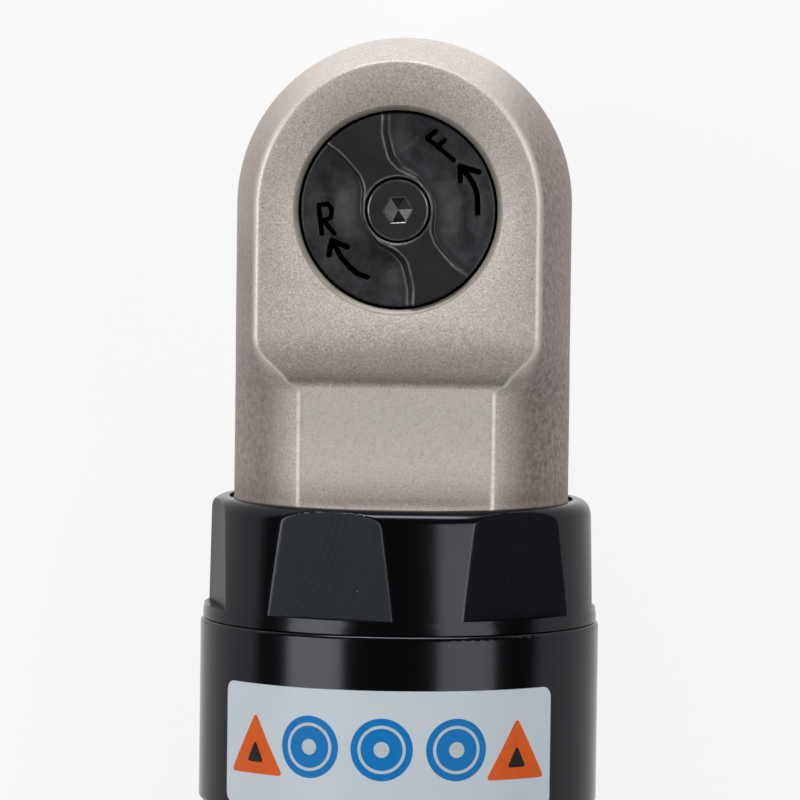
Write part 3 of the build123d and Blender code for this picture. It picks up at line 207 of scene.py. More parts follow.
def oil_black():
    """Glossy black oxide on turned steel, duller on its milled flats."""
    m = Shader("oil_black")
    smear = m.noise(7, 3, 0.6, (1, 0.25, 1))
    turned = m.noise(0.5, 3, 0.5, (0.4, 6, 0.4))
    sweep = m.node("CombineXYZ", "Vector", X=m.attribute("sweep"))
    cut = m.node("TexNoise", "Fac", Vector=sweep, Scale=2.4, Detail=5.0, Roughness=0.75)
    milled = m.attribute("milled")
    glossy = m.mix(smear, (0.0205, 0.021, 0.0245), (0.030, 0.031, 0.0345))
    dull = m.mix(m.ramp(cut, (0.3, 0.0), (0.7, 1.0)), (0.011, 0.0122, 0.015), (0.0175, 0.0195, 0.0235))
    base = m.mix(milled, glossy, dull)
    # Pale lines along the flats' borders, from wear and a painted highlight
    wear = m.times(m.attribute("wear"), m.ramp(smear, (0.3, 0.02), (0.6, 0.2)))
    base = m.mix(wear, base, linear(110, 112, 114))
    specks = m.ramp(m.noise(0.45, 2, 0.5), (0.22, 1.0), (0.26, 0.0))
    m.set(Base_Color=m.mix(m.times(specks, 0.5), base, linear(96, 94, 92)), Metallic=1.0)
    m.set(Roughness=m.plus(m.plus(0.12, smear, 0.1), milled, 0.24))
    m.set(Specular_Tint=(0.75, 0.75, 0.75), Normal=m.bump(m.mix(milled, turned, cut), 0.06, 0.05))
    return m.material


def knob_black():
    """Satin black finish on a casting: grey on its ridge crests from wear and a painted highlight, mottled in
    its pockets with painted shade beside their walls, and near black in its engraved marks as painted shade.
    """
    m = Shader("knob_black")
    grain, cloud, mottle = m.noise(0.28, 4, 0.65), m.noise(4, 3, 0.5), m.noise(1.3, 5, 0.72)
    base = m.mix(cloud, linear(24, 24, 26), linear(40, 40, 43))
    floor = m.mix(m.ramp(mottle, (0.38, 0.0), (0.68, 1.0)), linear(22, 22, 25), linear(61, 63, 68))
    # The floors are mottled away from their walls; at the foot of each wall they keep the plainer dark as
    # painted shade
    base = m.mix(m.times(m.attribute("pocket"), 0.62), base, floor)
    # Ridge crests grey from wear and a painted highlight
    rub_and_highlight = m.times(m.ramp(m.noise(1.1, 3, 0.6), (0.3, 0.3), (0.6, 0.9)),
                     m.ramp(m.noise(4.5, 2, 0.5), (0.4, 0.3), (0.58, 1.0)))
    base = m.mix(m.times(m.attribute("crest"), rub_and_highlight), base, linear(142, 144, 144))
    # The engraved marks are painted near black and made metallic so they show no shine: painted shade in the
    # grooves
    mark = m.ramp(m.attribute("mark"), (0.15, 0.0), (0.5, 1.0))
    m.set(Base_Color=m.mix(mark, base, (0.0005, 0.0005, 0.0005)), Metallic=mark)
    m.set(Roughness=m.plus(m.plus(0.3, cloud, 0.14), mark, 0.5), Normal=m.bump(grain, 0.35, 0.06))
    return m.material


def satin_screw():
    """Blackened alloy steel, satin on its turned head."""
    m = Shader("satin_screw")
    turned, cloud = m.noise(0.2, 3, 0.6), m.noise(1.8, 4, 0.6)
    base = m.mix(cloud, linear(56, 56, 58), linear(80, 80, 82))
    # Wear with a painted highlight on the rounded rim and the socket's edge
    wear = m.times(m.attribute("wear"), m.ramp(cloud, (0.35, 0.2), (0.6, 0.9)))
    m.set(Base_Color=m.mix(wear, base, linear(140, 141, 142)), Metallic=0.55)
    m.set(Roughness=m.plus(0.16, turned, 0.1), Normal=m.bump(turned, 0.12, 0.03))
    return m.material


def ground_steel(name, colour, rough):
    """Hardened steel with fine grinding lines and a trace of oil."""
    return plain(name, (3, 3, 0.6), [c * 0.72 for c in colour], colour, 0.95, (rough, 0.15), (0.12, 0.03),
                 (0.12, 2, 0.5, (1, 1, 0.06)))


def zinc_plate():
    """Bright zinc with a faint milky spangle."""
    m = Shader("zinc_plate")
    spangle = m.ramp(m.cells(1.3), (0.1, 0.0), (0.6, 0.35))
    cloud = m.noise(2.5, 3, 0.6)
    base = m.mix(cloud, linear(168, 170, 172), linear(204, 205, 206))
    m.set(Base_Color=m.mix(spangle, base, linear(150, 152, 155)), Metallic=0.92)
    m.set(Roughness=m.plus(0.24, cloud, 0.18), Normal=m.bump(cloud, 0.05, 0.04))
    return m.material


def black_anodised():
    """Blasted aluminium, anodised black, with pale specks where its edges have been knocked."""
    m = Shader("black_anodised")
    grain, cloud = m.noise(0.25, 4, 0.6), m.noise(12, 3, 0.5)
    base = m.mix(cloud, linear(24, 24, 27), linear(44, 44, 48))
    edges = m.ramp(m.node("NewGeometry", "Pointiness"), (0.57, 0.0), (0.7, 1.0))
    wear = m.times(edges, m.ramp(m.noise(1.2, 4, 0.7), (0.5, 0.0), (0.65, 0.6)))
    m.set(Base_Color=m.mix(wear, base, linear(96, 96, 99)), Metallic=0.45)
    m.set(Roughness=m.plus(0.34, grain, 0.14), Normal=m.bump(grain, 0.25, 0.05))
    return m.material


def grip_rubber():
    """Moulded rubber with a fine stipple and patches of dust."""
    m = Shader("grip_rubber")
    stipple, dust = m.cells(0.55), m.noise(6, 4, 0.6)
    base = m.mix(m.ramp(dust, (0.35, 0.0), (0.75, 0.5)), linear(25, 25, 27), linear(62, 61, 60))
    m.set(Base_Color=base, Roughness=m.plus(0.62, dust, 0.2))
    m.set(Specular_IOR_Level=0.35, Normal=m.bump(stipple, 0.4, 0.06))
    return m.material


def label_vinyl():
    """Pale blue printed vinyl with a soft shine and a few scuffs."""
    m = Shader("label_vinyl")
    tint = m.noise(9, 3, 0.5)
    scuff = m.ramp(m.noise(1.1, 5, 0.7, (1, 5, 1)), (0.66, 0.0), (0.8, 0.35))
    base = m.mix(tint, linear(206, 218, 227), linear(217, 227, 234))
    m.set(Base_Color=m.mix(scuff, base, linear(168, 178, 186)), Roughness=m.plus(0.42, tint, 0.16))
    m.set(Coat_Weight=0.1, Coat_Roughness=0.3, Specular_IOR_Level=0.3)
    m.set(Normal=m.bump(m.noise(0.6), 0.05, 0.03))
    return m.material


def print_ink(name, colour):
    """Printing ink on the label, a little uneven."""
    return plain(name, (0.8, 3, 0.6), [c * 0.86 for c in colour], colour, 0, (0.5, 0.12), (0.04, 0.02),
                 Specular_IOR_Level=0.2)


finishes = {
    "head_steel": blasted_nickel(), "black_steel": oil_black(), "knob_black": knob_black(),
    "label_vinyl": label_vinyl(), "zinc_steel": zinc_plate(), "grip_rubber": grip_rubber(),
    "drive_steel": ground_steel("ground_steel", (176, 175, 172), 0.3),
    "spring_steel": ground_steel("spring_wire", (142, 142, 144), 0.25),
    "handle_black": black_anodised(), "lever_black": black_anodised(),
    "bearing_steel": plain("polished_steel", (2, 2, 0.5), (186, 186, 188), (214, 214, 216), 1.0,
                           (0.1, 0.1), (0.02, 0.02)),
    "bronze": plain("oiled_bronze", (1.6, 3, 0.6), (126, 92, 52), (176, 138, 84), 0.9,
                    (0.28, 0.2), (0.08, 0.04)),
    "cast_plate": plain("machined_iron", (0.25, 3, 0.6), (92, 92, 94), (134, 134, 135), 0.8,
                        (0.36, 0.2), (0.15, 0.05)),
    "vane_resin": plain("fibre_resin", (0.3, 3, 0.6, (1, 0.15, 1)), (104, 66, 34), (146, 100, 58), 0,
                        (0.45, 0.15), (0.2, 0.05)),
    "gasket_paper": plain("gasket_paper", (0.4, 5, 0.7), (150, 132, 104), (186, 168, 138), 0,
                          (0.85,), (0.3, 0.05)),
    "felt": plain("pressed_felt", (0.3, 6, 0.75), (112, 110, 104), (168, 166, 158), 0,
                  (0.95,), (0.7, 0.15), Sheen_Weight=0.3),
}
node_slots = {row["node"]: row["material_slot"] for row in frame["record"]["subparts"]}
for node_name, node_object in nodes.items():
    node_object.data.materials.clear()
    node_object.data.materials.append(finishes[node_slots[node_name]])


# Mesh helpers, which take sizes in millimetres

WELD = 0.0015


def piece(name, points, faces, material, body, smooth_angle, values):
    """A finished mesh piece. Values are numbers kept at each point."""
    mesh = bpy.data.meshes.new(name)
    mesh.from_pydata([tuple(float(c) * MM for c in p) for p in points], [],
                     [tuple(map(int, f)) for f in faces])
    mesh.validate()
    for key, numbers in values.items():
        layer = mesh.attributes.new(key, "FLOAT", "POINT")
        layer.data.foreach_set("value", np.asarray(numbers, np.float32))
    return dress(name, mesh, [material], body, smooth_angle)


def dress(name, mesh, materials, body, smooth_angle=40):
    """Put a mesh in the scene with its finish, and let it ride on a body."""
    made = bpy.data.objects.new(name, mesh)
    bpy.context.scene.collection.objects.link(made)
    for material in materials:
        mesh.materials.append(material)
    mesh.polygons.foreach_set("use_smooth", [True] * len(mesh.polygons))
    mesh.set_sharp_from_angle(angle=math.radians(smooth_angle))
    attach(made, body)
    return made


def mesh_from(work, name):
    mesh = bpy.data.meshes.new(name)
    work.to_mesh(mesh)
    work.free()
    return mesh


def merged(node_name):
    """A CAD node's shape with its loose triangles joined."""
    work = bmesh.new()
    work.from_mesh(nodes[node_name].data)
    bmesh.ops.remove_doubles(work, verts=work.verts, dist=WELD * MM)
    return work


def loop_faces(rings, around):
    """Faces that join rings of points, each to the next and the last to the first."""
    faces = []
    for ring in range(rings):
        first, second = ring * around, (ring + 1) % rings * around
        for step in range(around):
            after = (step + 1) % around
            faces.append((first + step, second + step, second + after, first + after))
    return faces


def smooth_step(value):
    value = np.clip(value, 0, 1)
    return value * value * (3 - 2 * value)


def rounded(before, corner, after, steps):
    """Points of a small arc that takes the place of a corner."""
    share = np.linspace(0, 1, steps + 1)[:, None]
    before, corner, after = (np.asarray(p, float) for p in (before, corner, after))
    return (1 - share) ** 2 * before + 2 * share * (1 - share) * corner + share ** 2 * after


def even_points(line, count):
    """Points spaced evenly along a line."""
    run = np.concatenate([[0], np.cumsum(np.hypot(*np.diff(line, axis=0).T))])
    places = np.linspace(0, 1, count) * run[-1]
    return np.stack([np.interp(places, run, line[:, i]) for i in (0, 1)], 1)


def line_distance(x, y, line):
    """Distance of each place to a line of points."""
    nearest = np.full(np.shape(x), 1e9)
    for (ax, ay), (bx, by) in zip(line, line[1:]):
        dx, dy = bx - ax, by - ay
        share = np.clip(((x - ax) * dx + (y - ay) * dy) / (dx * dx + dy * dy), 0, 1)
        nearest = np.minimum(nearest, np.hypot(x - ax - share * dx, y - ay - share * dy))
    return nearest


# Forged head: heights from the tool's axis, and stations behind the drive's axis

NOSE_HALF, PAD_HALF, SOLE_HALF = 19.25, 16.0, 18.2
HEAD_NOSE, PAD_NOSE, SOLE_NOSE = 19.1, 16.9, 18.0
PAD, FLAT = 18.4, 15.8
PAD_STATIONS = (1.5, 3, 5, 7, 9, 11, 12.5, 13.6, 14.2)
ROLL_START, ROLL_END = 14.6, 19.8
BLEND_END, BLEND_POWER = 20.6, 2.1
NECK_RADIUS, NECK_END = 19.3, 34.2
NECK_STATIONS = (20.4, 20.7, 21.1, 21.5, 23, 26, 29, 30.5, 32, 33.2, NECK_END)
NOSE_COLUMNS, FLANK_ROWS = 161, 26
TOP_ROUND, SOLE_ROUND, LIP = 0.34, 0.6, 0.2
WELL_BEVEL, WELL_RIM, SPIGOT = 11.25, 11.9, 12
# Wear and a painted highlight at each point of a column, from the sole's edge to the upper edge
EDGE_WEAR_AND_HIGHLIGHT = [0, 0.2, *[0.8] * 4, 0.4, *[0] * 24, 0.25, 0.7, *[1] * 5, 0.7, 0.25, 0]
BORED, THREADED, BEVELLED = 1, 2, 3


def roll_profile():
    """Stations and heights of the head's upper side, from the pad's end to the neck's end."""
    drop, run = PAD - FLAT, ROLL_END - ROLL_START
    radius = (run * run + drop * drop) / (2 * drop)
    arc = [(ROLL_START + radius * math.sin(a), PAD - radius * (1 - math.cos(a)))
           for a in np.linspace(0, math.asin(run / radius) * 0.92, 16)]
    bend = rounded(arc[-1], (ROLL_END, FLAT), (ROLL_END + 0.4, FLAT), 6)
    return np.array(arc + [tuple(p) for p in bend[1:]] + [(s, FLAT) for s in NECK_STATIONS])


ROLL = roll_profile()


def head_half_width(height, station):
    """Half the head's width at a height and a station."""
    top = NOSE_HALF - (NOSE_HALF - PAD_HALF) * (height / PAD) ** 2
    low = NOSE_HALF - (NOSE_HALF - SOLE_HALF) * (height / FLAT) ** 2
    neck = np.sqrt(np.maximum(NECK_RADIUS ** 2 - height ** 2, 0))
    share = np.clip((station - ROLL_START) / (BLEND_END - ROLL_START), 0, 1) ** BLEND_POWER
    return np.where(height >= 0, top, low) * (1 - share) + neck * share


def nose_reach(height):
    """How far the head reaches in front of the drive's axis at a height."""
    top = HEAD_NOSE - (HEAD_NOSE - PAD_NOSE) * (height / PAD) ** 2
    low = HEAD_NOSE - (HEAD_NOSE - SOLE_NOSE) * (height / FLAT) ** 2
    return np.where(height >= 0, top, low)


def head_column(station, top, angle=None):
    """Points of the skin from the sole to the upper side, at a station or an angle round the nose."""
    heights = np.linspace(-FLAT, top, 30)
    flank = np.stack([head_half_width(heights, station), heights], 1)
    share = SOLE_ROUND / (flank[1][1] - flank[0][1])
    low = rounded(flank[0] + (-SOLE_ROUND, 0), flank[0], flank[1] * share + flank[0] * (1 - share), 5)
    slope = flank[-1] - flank[-2]
    slope /= np.hypot(*slope)
    high = rounded(flank[-1] - slope * TOP_ROUND, flank[-1], flank[-1] + (-TOP_ROUND, 0), 8)
    middle = [p for p in flank if low[-1][1] + 0.1 < p[1] < high[0][1] - 0.1]
    # Every column has the same count of points
    middle = even_points(np.concatenate([low[-1:], middle, high[:1]]), FLANK_ROWS)
    profile = np.concatenate([low[:1] + (-LIP, 0), low, middle[1:-1], high, high[-1:] + (-LIP, 0)])
    width, height = profile.T
    if angle is None:
        return np.stack([width, np.full(len(profile), -station), height], 1)
    stretch = nose_reach(height) / head_half_width(height, 0)
    return np.stack([width * math.cos(angle), width * stretch * math.sin(angle), height], 1)


def head_marks(grid):
    """Shares of wear with a painted highlight, of a darker speckled line and painted shade, and of painted
    shade on the flanks, at each point of the skin.
    """
    x, y, z = np.moveaxis(grid, 2, 0)
    station, right = -y, x > 0
    # The edges' wear carries a painted highlight, which fades towards the nose and, on the left, behind the
    # roll
    fade = np.where(right, 0, 0.4) * smooth_step((station - 19) / 2)
    wear = EDGE_WEAR_AND_HIGHLIGHT * (1 - fade - 0.9 * smooth_step((y - 6) / 8))
    # Painted highlight over the neck's flat, fading as it nears the nut
    neck = station[:, -1] > ROLL_END + 0.5
    wear[neck, -1] = 0.58 - 0.45 * smooth_step((station[neck, -1] - 29) / 4)
    # A darker, speckled line at the foot of the roll, and painted shade on the neck as it nears the nut
    grime = np.where(z > 14, 0.65 * np.exp(-((station - ROLL_END + 0.35) / 0.75) ** 2), 0)
    grime = grime + 0.75 * smooth_step((station - 30) / 4.2)
    # Painted shade on the flanks below the upper edge, at the sides and towards the rear, a little less on
    # the left
    below_edge = (z[:, -1:] - z) / (1.2 + 3 * smooth_step((station - 14) / 6))
    side = smooth_step((np.abs(x) - 8) / 9) * np.where(right, 1, 0.75)
    rearward = smooth_step((9 - y) / 16)
    flank = smooth_step(below_edge) * np.maximum(rearward, side) * np.where(right, 1, 0.85)
    return wear, grime, flank


def head_skin():
    """The skin of the head and neck, open at the pad, the sole and the neck's end."""
    side = [head_column(station, PAD) for station in PAD_STATIONS] + [head_column(*place) for place in ROLL]
    nose = [head_column(0, PAD, angle) for angle in np.linspace(0, math.pi, NOSE_COLUMNS)]
    grid = np.array(side[::-1] + nose + [column * (-1, 1, 1) for column in side])
    work = bmesh.new()
    layers = [work.verts.layers.float.new(name) for name in ("wear", "grime", "flank")]
    made = []
    for column, *marks in zip(grid, *head_marks(grid)):
        made.append([work.verts.new((x * MM, y * MM, (z + AXIS) * MM)) for x, y, z in column])
        for vertex, *shares in zip(made[-1], *marks):
            for layer, share in zip(layers, shares):
                vertex[layer] = share
    for a, b in zip(made, made[1:]):
        for row in range(len(EDGE_WEAR_AND_HIGHLIGHT) - 1):
            work.faces.new((a[row], b[row], b[row + 1], a[row + 1]))
    # Upper side from the pad's end to the neck's end, straight across
    across = [(right[-1], left[-1]) for right, left in zip(made[len(ROLL) - 1::-1], made[-len(ROLL):])]
    for (right, left), (right_next, left_next) in zip(across, across[1:]):
        work.faces.new((right, left, left_next, right_next))
    return work


def add_bores(work):
    """Add the CAD head's bores, spigot and the faces in them, without its outer skin."""
    source = merged("ratchet_head")
    outer = []
    for face in source.faces:
        x, y, z = face.calc_center_median() / MM
        height, station = z - AXIS, max(-y, 0)
        at_end = abs(station - NECK_END) < 0.01
        if station > NECK_END - 0.01 and not (at_end and math.hypot(x, height) > SPIGOT):
            continue
        half = float(head_half_width(np.array(height), station))
        reach = math.hypot(x, y * half / float(nose_reach(np.array(height)))) if y > 0 else abs(x)
        on_flank = abs(reach - half) < 0.95
        on_top = height > FLAT - 0.02 and math.hypot(x, y) > WELL_RIM - 0.05
        on_sole = abs(height + FLAT) < 0.02
        if on_flank or on_top or on_sole or (at_end and abs(face.normal.y) > 0.9):
            outer.append(face)
    bmesh.ops.delete(source, geom=outer, context="FACES")
    for face in source.faces:
        x, y, z = face.calc_center_median() / MM
        in_bevel = z - AXIS > PAD - 0.8 and WELL_BEVEL < math.hypot(x, y) < WELL_RIM
        # The spigot takes the dark oily finish, which also stands for painted shade in the gap before the nut
        face.material_index = THREADED if -y > NECK_END - 0.1 else BEVELLED if in_bevel else BORED
    work.from_mesh(mesh_from(source, "ratchet_head_bores"))


def close_face(work, edges, normal, material_index=0):
    """Fill a flat region, which may have a hole, inside closed loops of edges."""
    made = bmesh.ops.triangle_fill(work, use_beauty=True, use_dissolve=False, edges=edges, normal=normal)
    for item in made["geom"]:
        if isinstance(item, bmesh.types.BMFace):
            item.material_index = material_index


def head_casting():
    """The forged head: a skin with soft edges, worn and with a painted highlight, over the CAD node's own
    bores.
    """
    work = head_skin()
    add_bores(work)
    bmesh.ops.remove_doubles(work, verts=work.verts, dist=WELD * MM)
    pad_z, sole_z, rear = (AXIS + PAD) * MM, (AXIS - FLAT) * MM, -NECK_END * MM
    # The sole's rear edge, which also bounds the neck's end
    corners = [v for v in work.verts if abs(v.co.z - sole_z) < 1e-6 and abs(v.co.y - rear) < 1e-6]
    work.edges.new((min(corners, key=lambda v: abs(v.co.x - corners[0].co.x)),
                    min(corners, key=lambda v: abs(v.co.x + corners[0].co.x))))
    for height, direction in ((pad_z, 1), (sole_z, -1)):
        close_face(work, [e for e in work.edges if len(e.link_faces) < 2
                          and all(abs(v.co.z - height) < 0.004 * MM for v in e.verts)], (0, 0, direction))
    close_face(work, [e for e in work.edges if e.is_boundary
                      and all(abs(v.co.y - rear) < 0.02 * MM for v in e.verts)], (0, 1, 0), THREADED)
    bmesh.ops.recalc_face_normals(work, faces=work.faces)
    bored = plain("bored_steel", (2.5, 3, 0.6), (150, 148, 140), (214, 210, 200), 0.95,
                  (0.2, 0.16), (0.12, 0.04), (0.2, 2, 0.5, (0.3, 0.3, 6)))
    # Dark oily steel on the spigot and the neck's end, also painted shade in the gap before the nut
    oil_and_shade = plain("oiled_thread_and_shade", (1.2, 3, 0.6), (30, 27, 25), (64, 60, 56), 0.6, (0.35, 0.2), (0.1, 0.05))
    bevel = plain("bevel_steel", (1.5, 4, 0.6), (130, 124, 112), (180, 174, 162), 0.3,
                  (0.42, 0.16), (0.25, 0.04), (0.2, 3, 0.6))
    head = dress("head_casting", mesh_from(work, "head_casting"),
                 [finishes["head_steel"], bored, oil_and_shade, bevel], "housing", 32)
    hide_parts("ratchet_head")


# Reversing knob: a disc with two finger pockets either side of a twisted ridge

KNOB_BOTTOM, KNOB_TOP = (corner.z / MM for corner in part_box("reverse_knob"))
KNOB_AROUND, KNOB_RINGS = 540, 100
KNOB_RADIUS, FACE_EDGE, KNOB_ROUND = 10.98, 10.72, 0.26
SCREW_HOLE, SCREW_CHAMFER, SCREW_SEAT = 3.75, 0.12, 4.1
STEM_RADIUS, STEM_DEPTH, SHANK_HOLE = 3.65, 1.5, 2.2
RIDGE_RIGHT = [(-2.0, 11.6), (-1.85, 10.7), (-1.93, 8.8), (-1.5, 7.0), (-1.13, 5.65), (0.14, 4.4),
               (2.05, 3.6), (3.0, 2.35), (3.8, 0.7), (3.82, -0.8), (3.68, -2.4), (4.2, -3.8),
               (5.4, -5.25), (6.5, -6.4), (8.3, -7.7), (9.2, -8.3)]
LETTERS = [[(3.15, 8.15), (6.2, 5.7)], [(3.15, 8.15), (4.15, 8.95)], [(4.35, 7.2), (5.15, 7.95)],
           [(-9.0, 0.4), (-8.6, -2.85)], [(-8.3, -1.5), (-7.2, -2.8)],
           [(-9.0, 0.4), (-8.0, 0.55), (-7.5, -0.05), (-7.6, -1.0), (-8.75, -1.5)]]
ARROWS = [[(6.9, 5.0), (9.1, 4.4)], [(6.9, 5.0), (7.0, 3.35)],
          [(7.3, 4.6), (7.85, 4.0), (8.55, 2.95), (8.95, 1.7), (9.0, -0.25)],
          [(-7.5, -3.6), (-5.7, -4.3)], [(-7.5, -3.6), (-7.8, -5.25)],
          [(-7.15, -4.15), (-6.4, -5.5), (-5.4, -6.6), (-4.5, -7.35), (-3.4, -7.7)]]
MARK_DEPTH, CREST_RISE = 0.42, 0.04


def knob_relief(x, y):
    """Depth below the knob's face, and shares of a mark's groove, of wear with a painted highlight along the
    crests, and of a pocket's floor, low beside its walls for painted shade.
    """
    right = even_points(np.array(RIDGE_RIGHT), 90)
    for _ in range(3):
        right[1:-1] = (right[:-2] + 2 * right[1:-1] + right[2:]) / 4
    depth, crest, floor, groove = np.zeros((4, *x.shape))
    for line, sign in ((right, 1), (-right, -1)):
        # A place is in a pocket when it lies beyond the line, seen from the ridge
        order = np.argsort(line[:, 1])
        beyond = sign * (x - np.interp(y, line[order, 1], line[order, 0])) > 0
        distance = line_distance(x, y, line)
        steep = smooth_step((sign * y - 3) / 3)
        width = 0.45 + 0.35 * steep
        wall = (0.4 + 0.35 * steep) * smooth_step(distance / width)
        bowl = 0.65 * smooth_step(distance / 4.5)
        outward = 1 - 0.45 * smooth_step((np.hypot(x, y) - 7) / 4.5)
        depth += np.where(beyond, (wall + bowl) * outward, 0)
        # Lines along the ridge crests, and at the foot of the steeper walls, take wear and a painted
        # highlight
        crest = np.maximum(crest, np.exp(-((distance - 0.01) / 0.08) ** 2))
        crest = np.maximum(crest, 0.5 * steep * np.exp(-((distance - width) / 0.07) ** 2) * beyond)
        # The floor's share is low at the foot of each wall, which keeps painted shade there
        floor = np.maximum(floor, np.where(beyond, smooth_step((distance - width) / 0.9), 0))
    for strokes, half_width, soft in ((LETTERS, 0.17, 0.13), (ARROWS, 0.2, 0.14)):
        for stroke in strokes:
            groove = np.maximum(groove, 1 - smooth_step((line_distance(x, y, stroke) - half_width) / soft))
    return depth + MARK_DEPTH * groove - CREST_RISE * crest, groove, crest, floor


def reversing_knob():
    turn = np.linspace(0, 2 * math.pi, KNOB_AROUND, endpoint=False)
    rows = [(SCREW_HOLE + r, 0) for r in (0, 0.06, 0.12)]
    rows += [(r, 0) for r in np.linspace(SCREW_HOLE + 0.2, FACE_EDGE, KNOB_RINGS)]
    rows += [(FACE_EDGE + KNOB_ROUND * math.sin(a), KNOB_ROUND * (1 - math.cos(a)))
             for a in np.linspace(0.25, math.pi / 2, 6)]
    points, shares = [], []
    for radius, drop in rows:
        x, y = radius * np.cos(turn), radius * np.sin(turn)
        within = min(radius, FACE_EDGE) / radius
        depth, *share = knob_relief(x * within, y * within)
        chamfer = SCREW_CHAMFER * (1 - smooth_step((radius - SCREW_HOLE) / 0.14))
        # A painted highlight ring at the rim of the screw's hole
        share[1] = np.maximum(share[1], math.exp(-((radius - SCREW_HOLE - 0.16) / 0.08) ** 2))
        points.append(np.stack([x, y, KNOB_TOP - (depth + drop + chamfer)], 1))
        shares.append(np.stack(share))
    seat, step = KNOB_TOP - SCREW_SEAT, KNOB_BOTTOM + STEM_DEPTH
    for radius, height in ((KNOB_RADIUS, KNOB_BOTTOM), (STEM_RADIUS, KNOB_BOTTOM), (STEM_RADIUS, step),
                           (SHANK_HOLE, step), (SHANK_HOLE, max(seat, step - 0.1)), (SCREW_HOLE, seat)):
        points.append(np.stack([radius * np.cos(turn), radius * np.sin(turn),
                                np.full(KNOB_AROUND, height)], 1))
        shares.append(np.zeros((3, KNOB_AROUND)))
    knob = piece("reversing_knob", np.concatenate(points), loop_faces(len(points), KNOB_AROUND),
                 finishes["knob_black"], "knob", 40,
                 dict(zip(("mark", "crest", "pocket"), np.concatenate(shares, 1))))
    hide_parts("reverse_knob")


# Screw in the middle of the knob

SCREW_AROUND, SCREW_HEAD, SCREW_SHANK, SCREW_ROUND = 96, 4.0, 2.0, 0.28
SOCKET_FLATS, SOCKET_DEPTH, SOCKET_TILT, SOCKET_TURN = 2.75, 1.1, 18, 4


def knob_cap_screw():
    """A turned head with a hexagon socket on a pyramid floor."""
    low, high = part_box("knob_screw")
    radius, top, bottom = high.x / MM, high.z / MM, low.z / MM
    seat, apothem = top - SCREW_HEAD, SOCKET_FLATS / 2
    turn = np.linspace(0, 2 * math.pi, SCREW_AROUND, endpoint=False)
    hexagon = 1 / np.cos((turn % (math.pi / 3)) - math.pi / 6)
    turn += math.radians(SOCKET_TURN)
    # Reach, height and wear of each ring, the wear on the rounded rim and at the socket's edge partly a
    # painted highlight
    rings = [(SCREW_SHANK, bottom, 0), (SCREW_SHANK, seat, 0), (radius, seat, 0)]
    rings += [(radius - SCREW_ROUND * (1 - math.cos(a)), top - SCREW_ROUND * (1 - math.sin(a)),
               math.sin(2 * a)) for a in np.linspace(0, math.pi / 2, 13)]
    rings += [(radius - SCREW_ROUND - 0.4, top, 0), ((apothem + 0.18) * hexagon, top, 0)]
    rings += [((apothem + 0.1) * hexagon, top, 0.8), (apothem * hexagon, top - 0.1, 0.8),
              (apothem * hexagon, top - 0.2, 0), (apothem * hexagon, top - SOCKET_DEPTH, 0)]
    points, wear = [(0, 0, bottom)], [0]
    for reach, height, worn in rings:
        points += list(zip(reach * np.cos(turn), reach * np.sin(turn), np.full(SCREW_AROUND, height)))
        wear += [worn] * SCREW_AROUND
    apex = len(points)
    points.append((0, 0, top - SOCKET_DEPTH - apothem * math.tan(math.radians(SOCKET_TILT))))
    faces = []
    for step in range(SCREW_AROUND):
        after = (step + 1) % SCREW_AROUND
        faces.append((0, 1 + after, 1 + step))
        for ring in range(len(rings) - 1):
            first, second = 1 + ring * SCREW_AROUND, 1 + (ring + 1) * SCREW_AROUND
            faces.append((first + step, first + after, second + after, second + step))
        faces.append((apex - SCREW_AROUND + step, apex - SCREW_AROUND + after, apex))
    screw = piece("knob_cap_screw", points, faces, satin_screw(), "knob", 12,
                  {"wear": wear + [0]})
    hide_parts("knob_screw")


# Spring under the throttle valve


def throttle_spring():
    """The spring under the throttle valve, a merged copy of the CAD node with a mesh of its own."""
    coil = dress("throttle_spring", mesh_from(merged("valve_spring"), "throttle_spring"),
                 [finishes["spring_steel"]], "housing")
    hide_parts("valve_spring")
    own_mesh(coil)


# Lock nut: a turned, slightly tapered ring with six milled flats

NUT_REAR, NUT_FRONT = (-corner.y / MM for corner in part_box("lock_nut"))
NUT_AROUND, NUT_BORE, NUT_MOUTH = 1440, 19.5, 19.85
NUT_RADIUS, NUT_LEDGE, NUT_TAPER, NUT_ROUND = 22.6, 22.72, 0.55, 1.7
NUT_FLAT, FLAT_REAR, FIRST_FLAT, FLAT_SOFT = 21.27, 46.3, 40.8, 0.05
NUT_STATIONS = (35.8, 36.2, 37, 38, 39, 40, 41, 42, 43, 44, 45, 45.7, 46.1, FLAT_REAR)
CUTTER = (-22.0, 30.0)


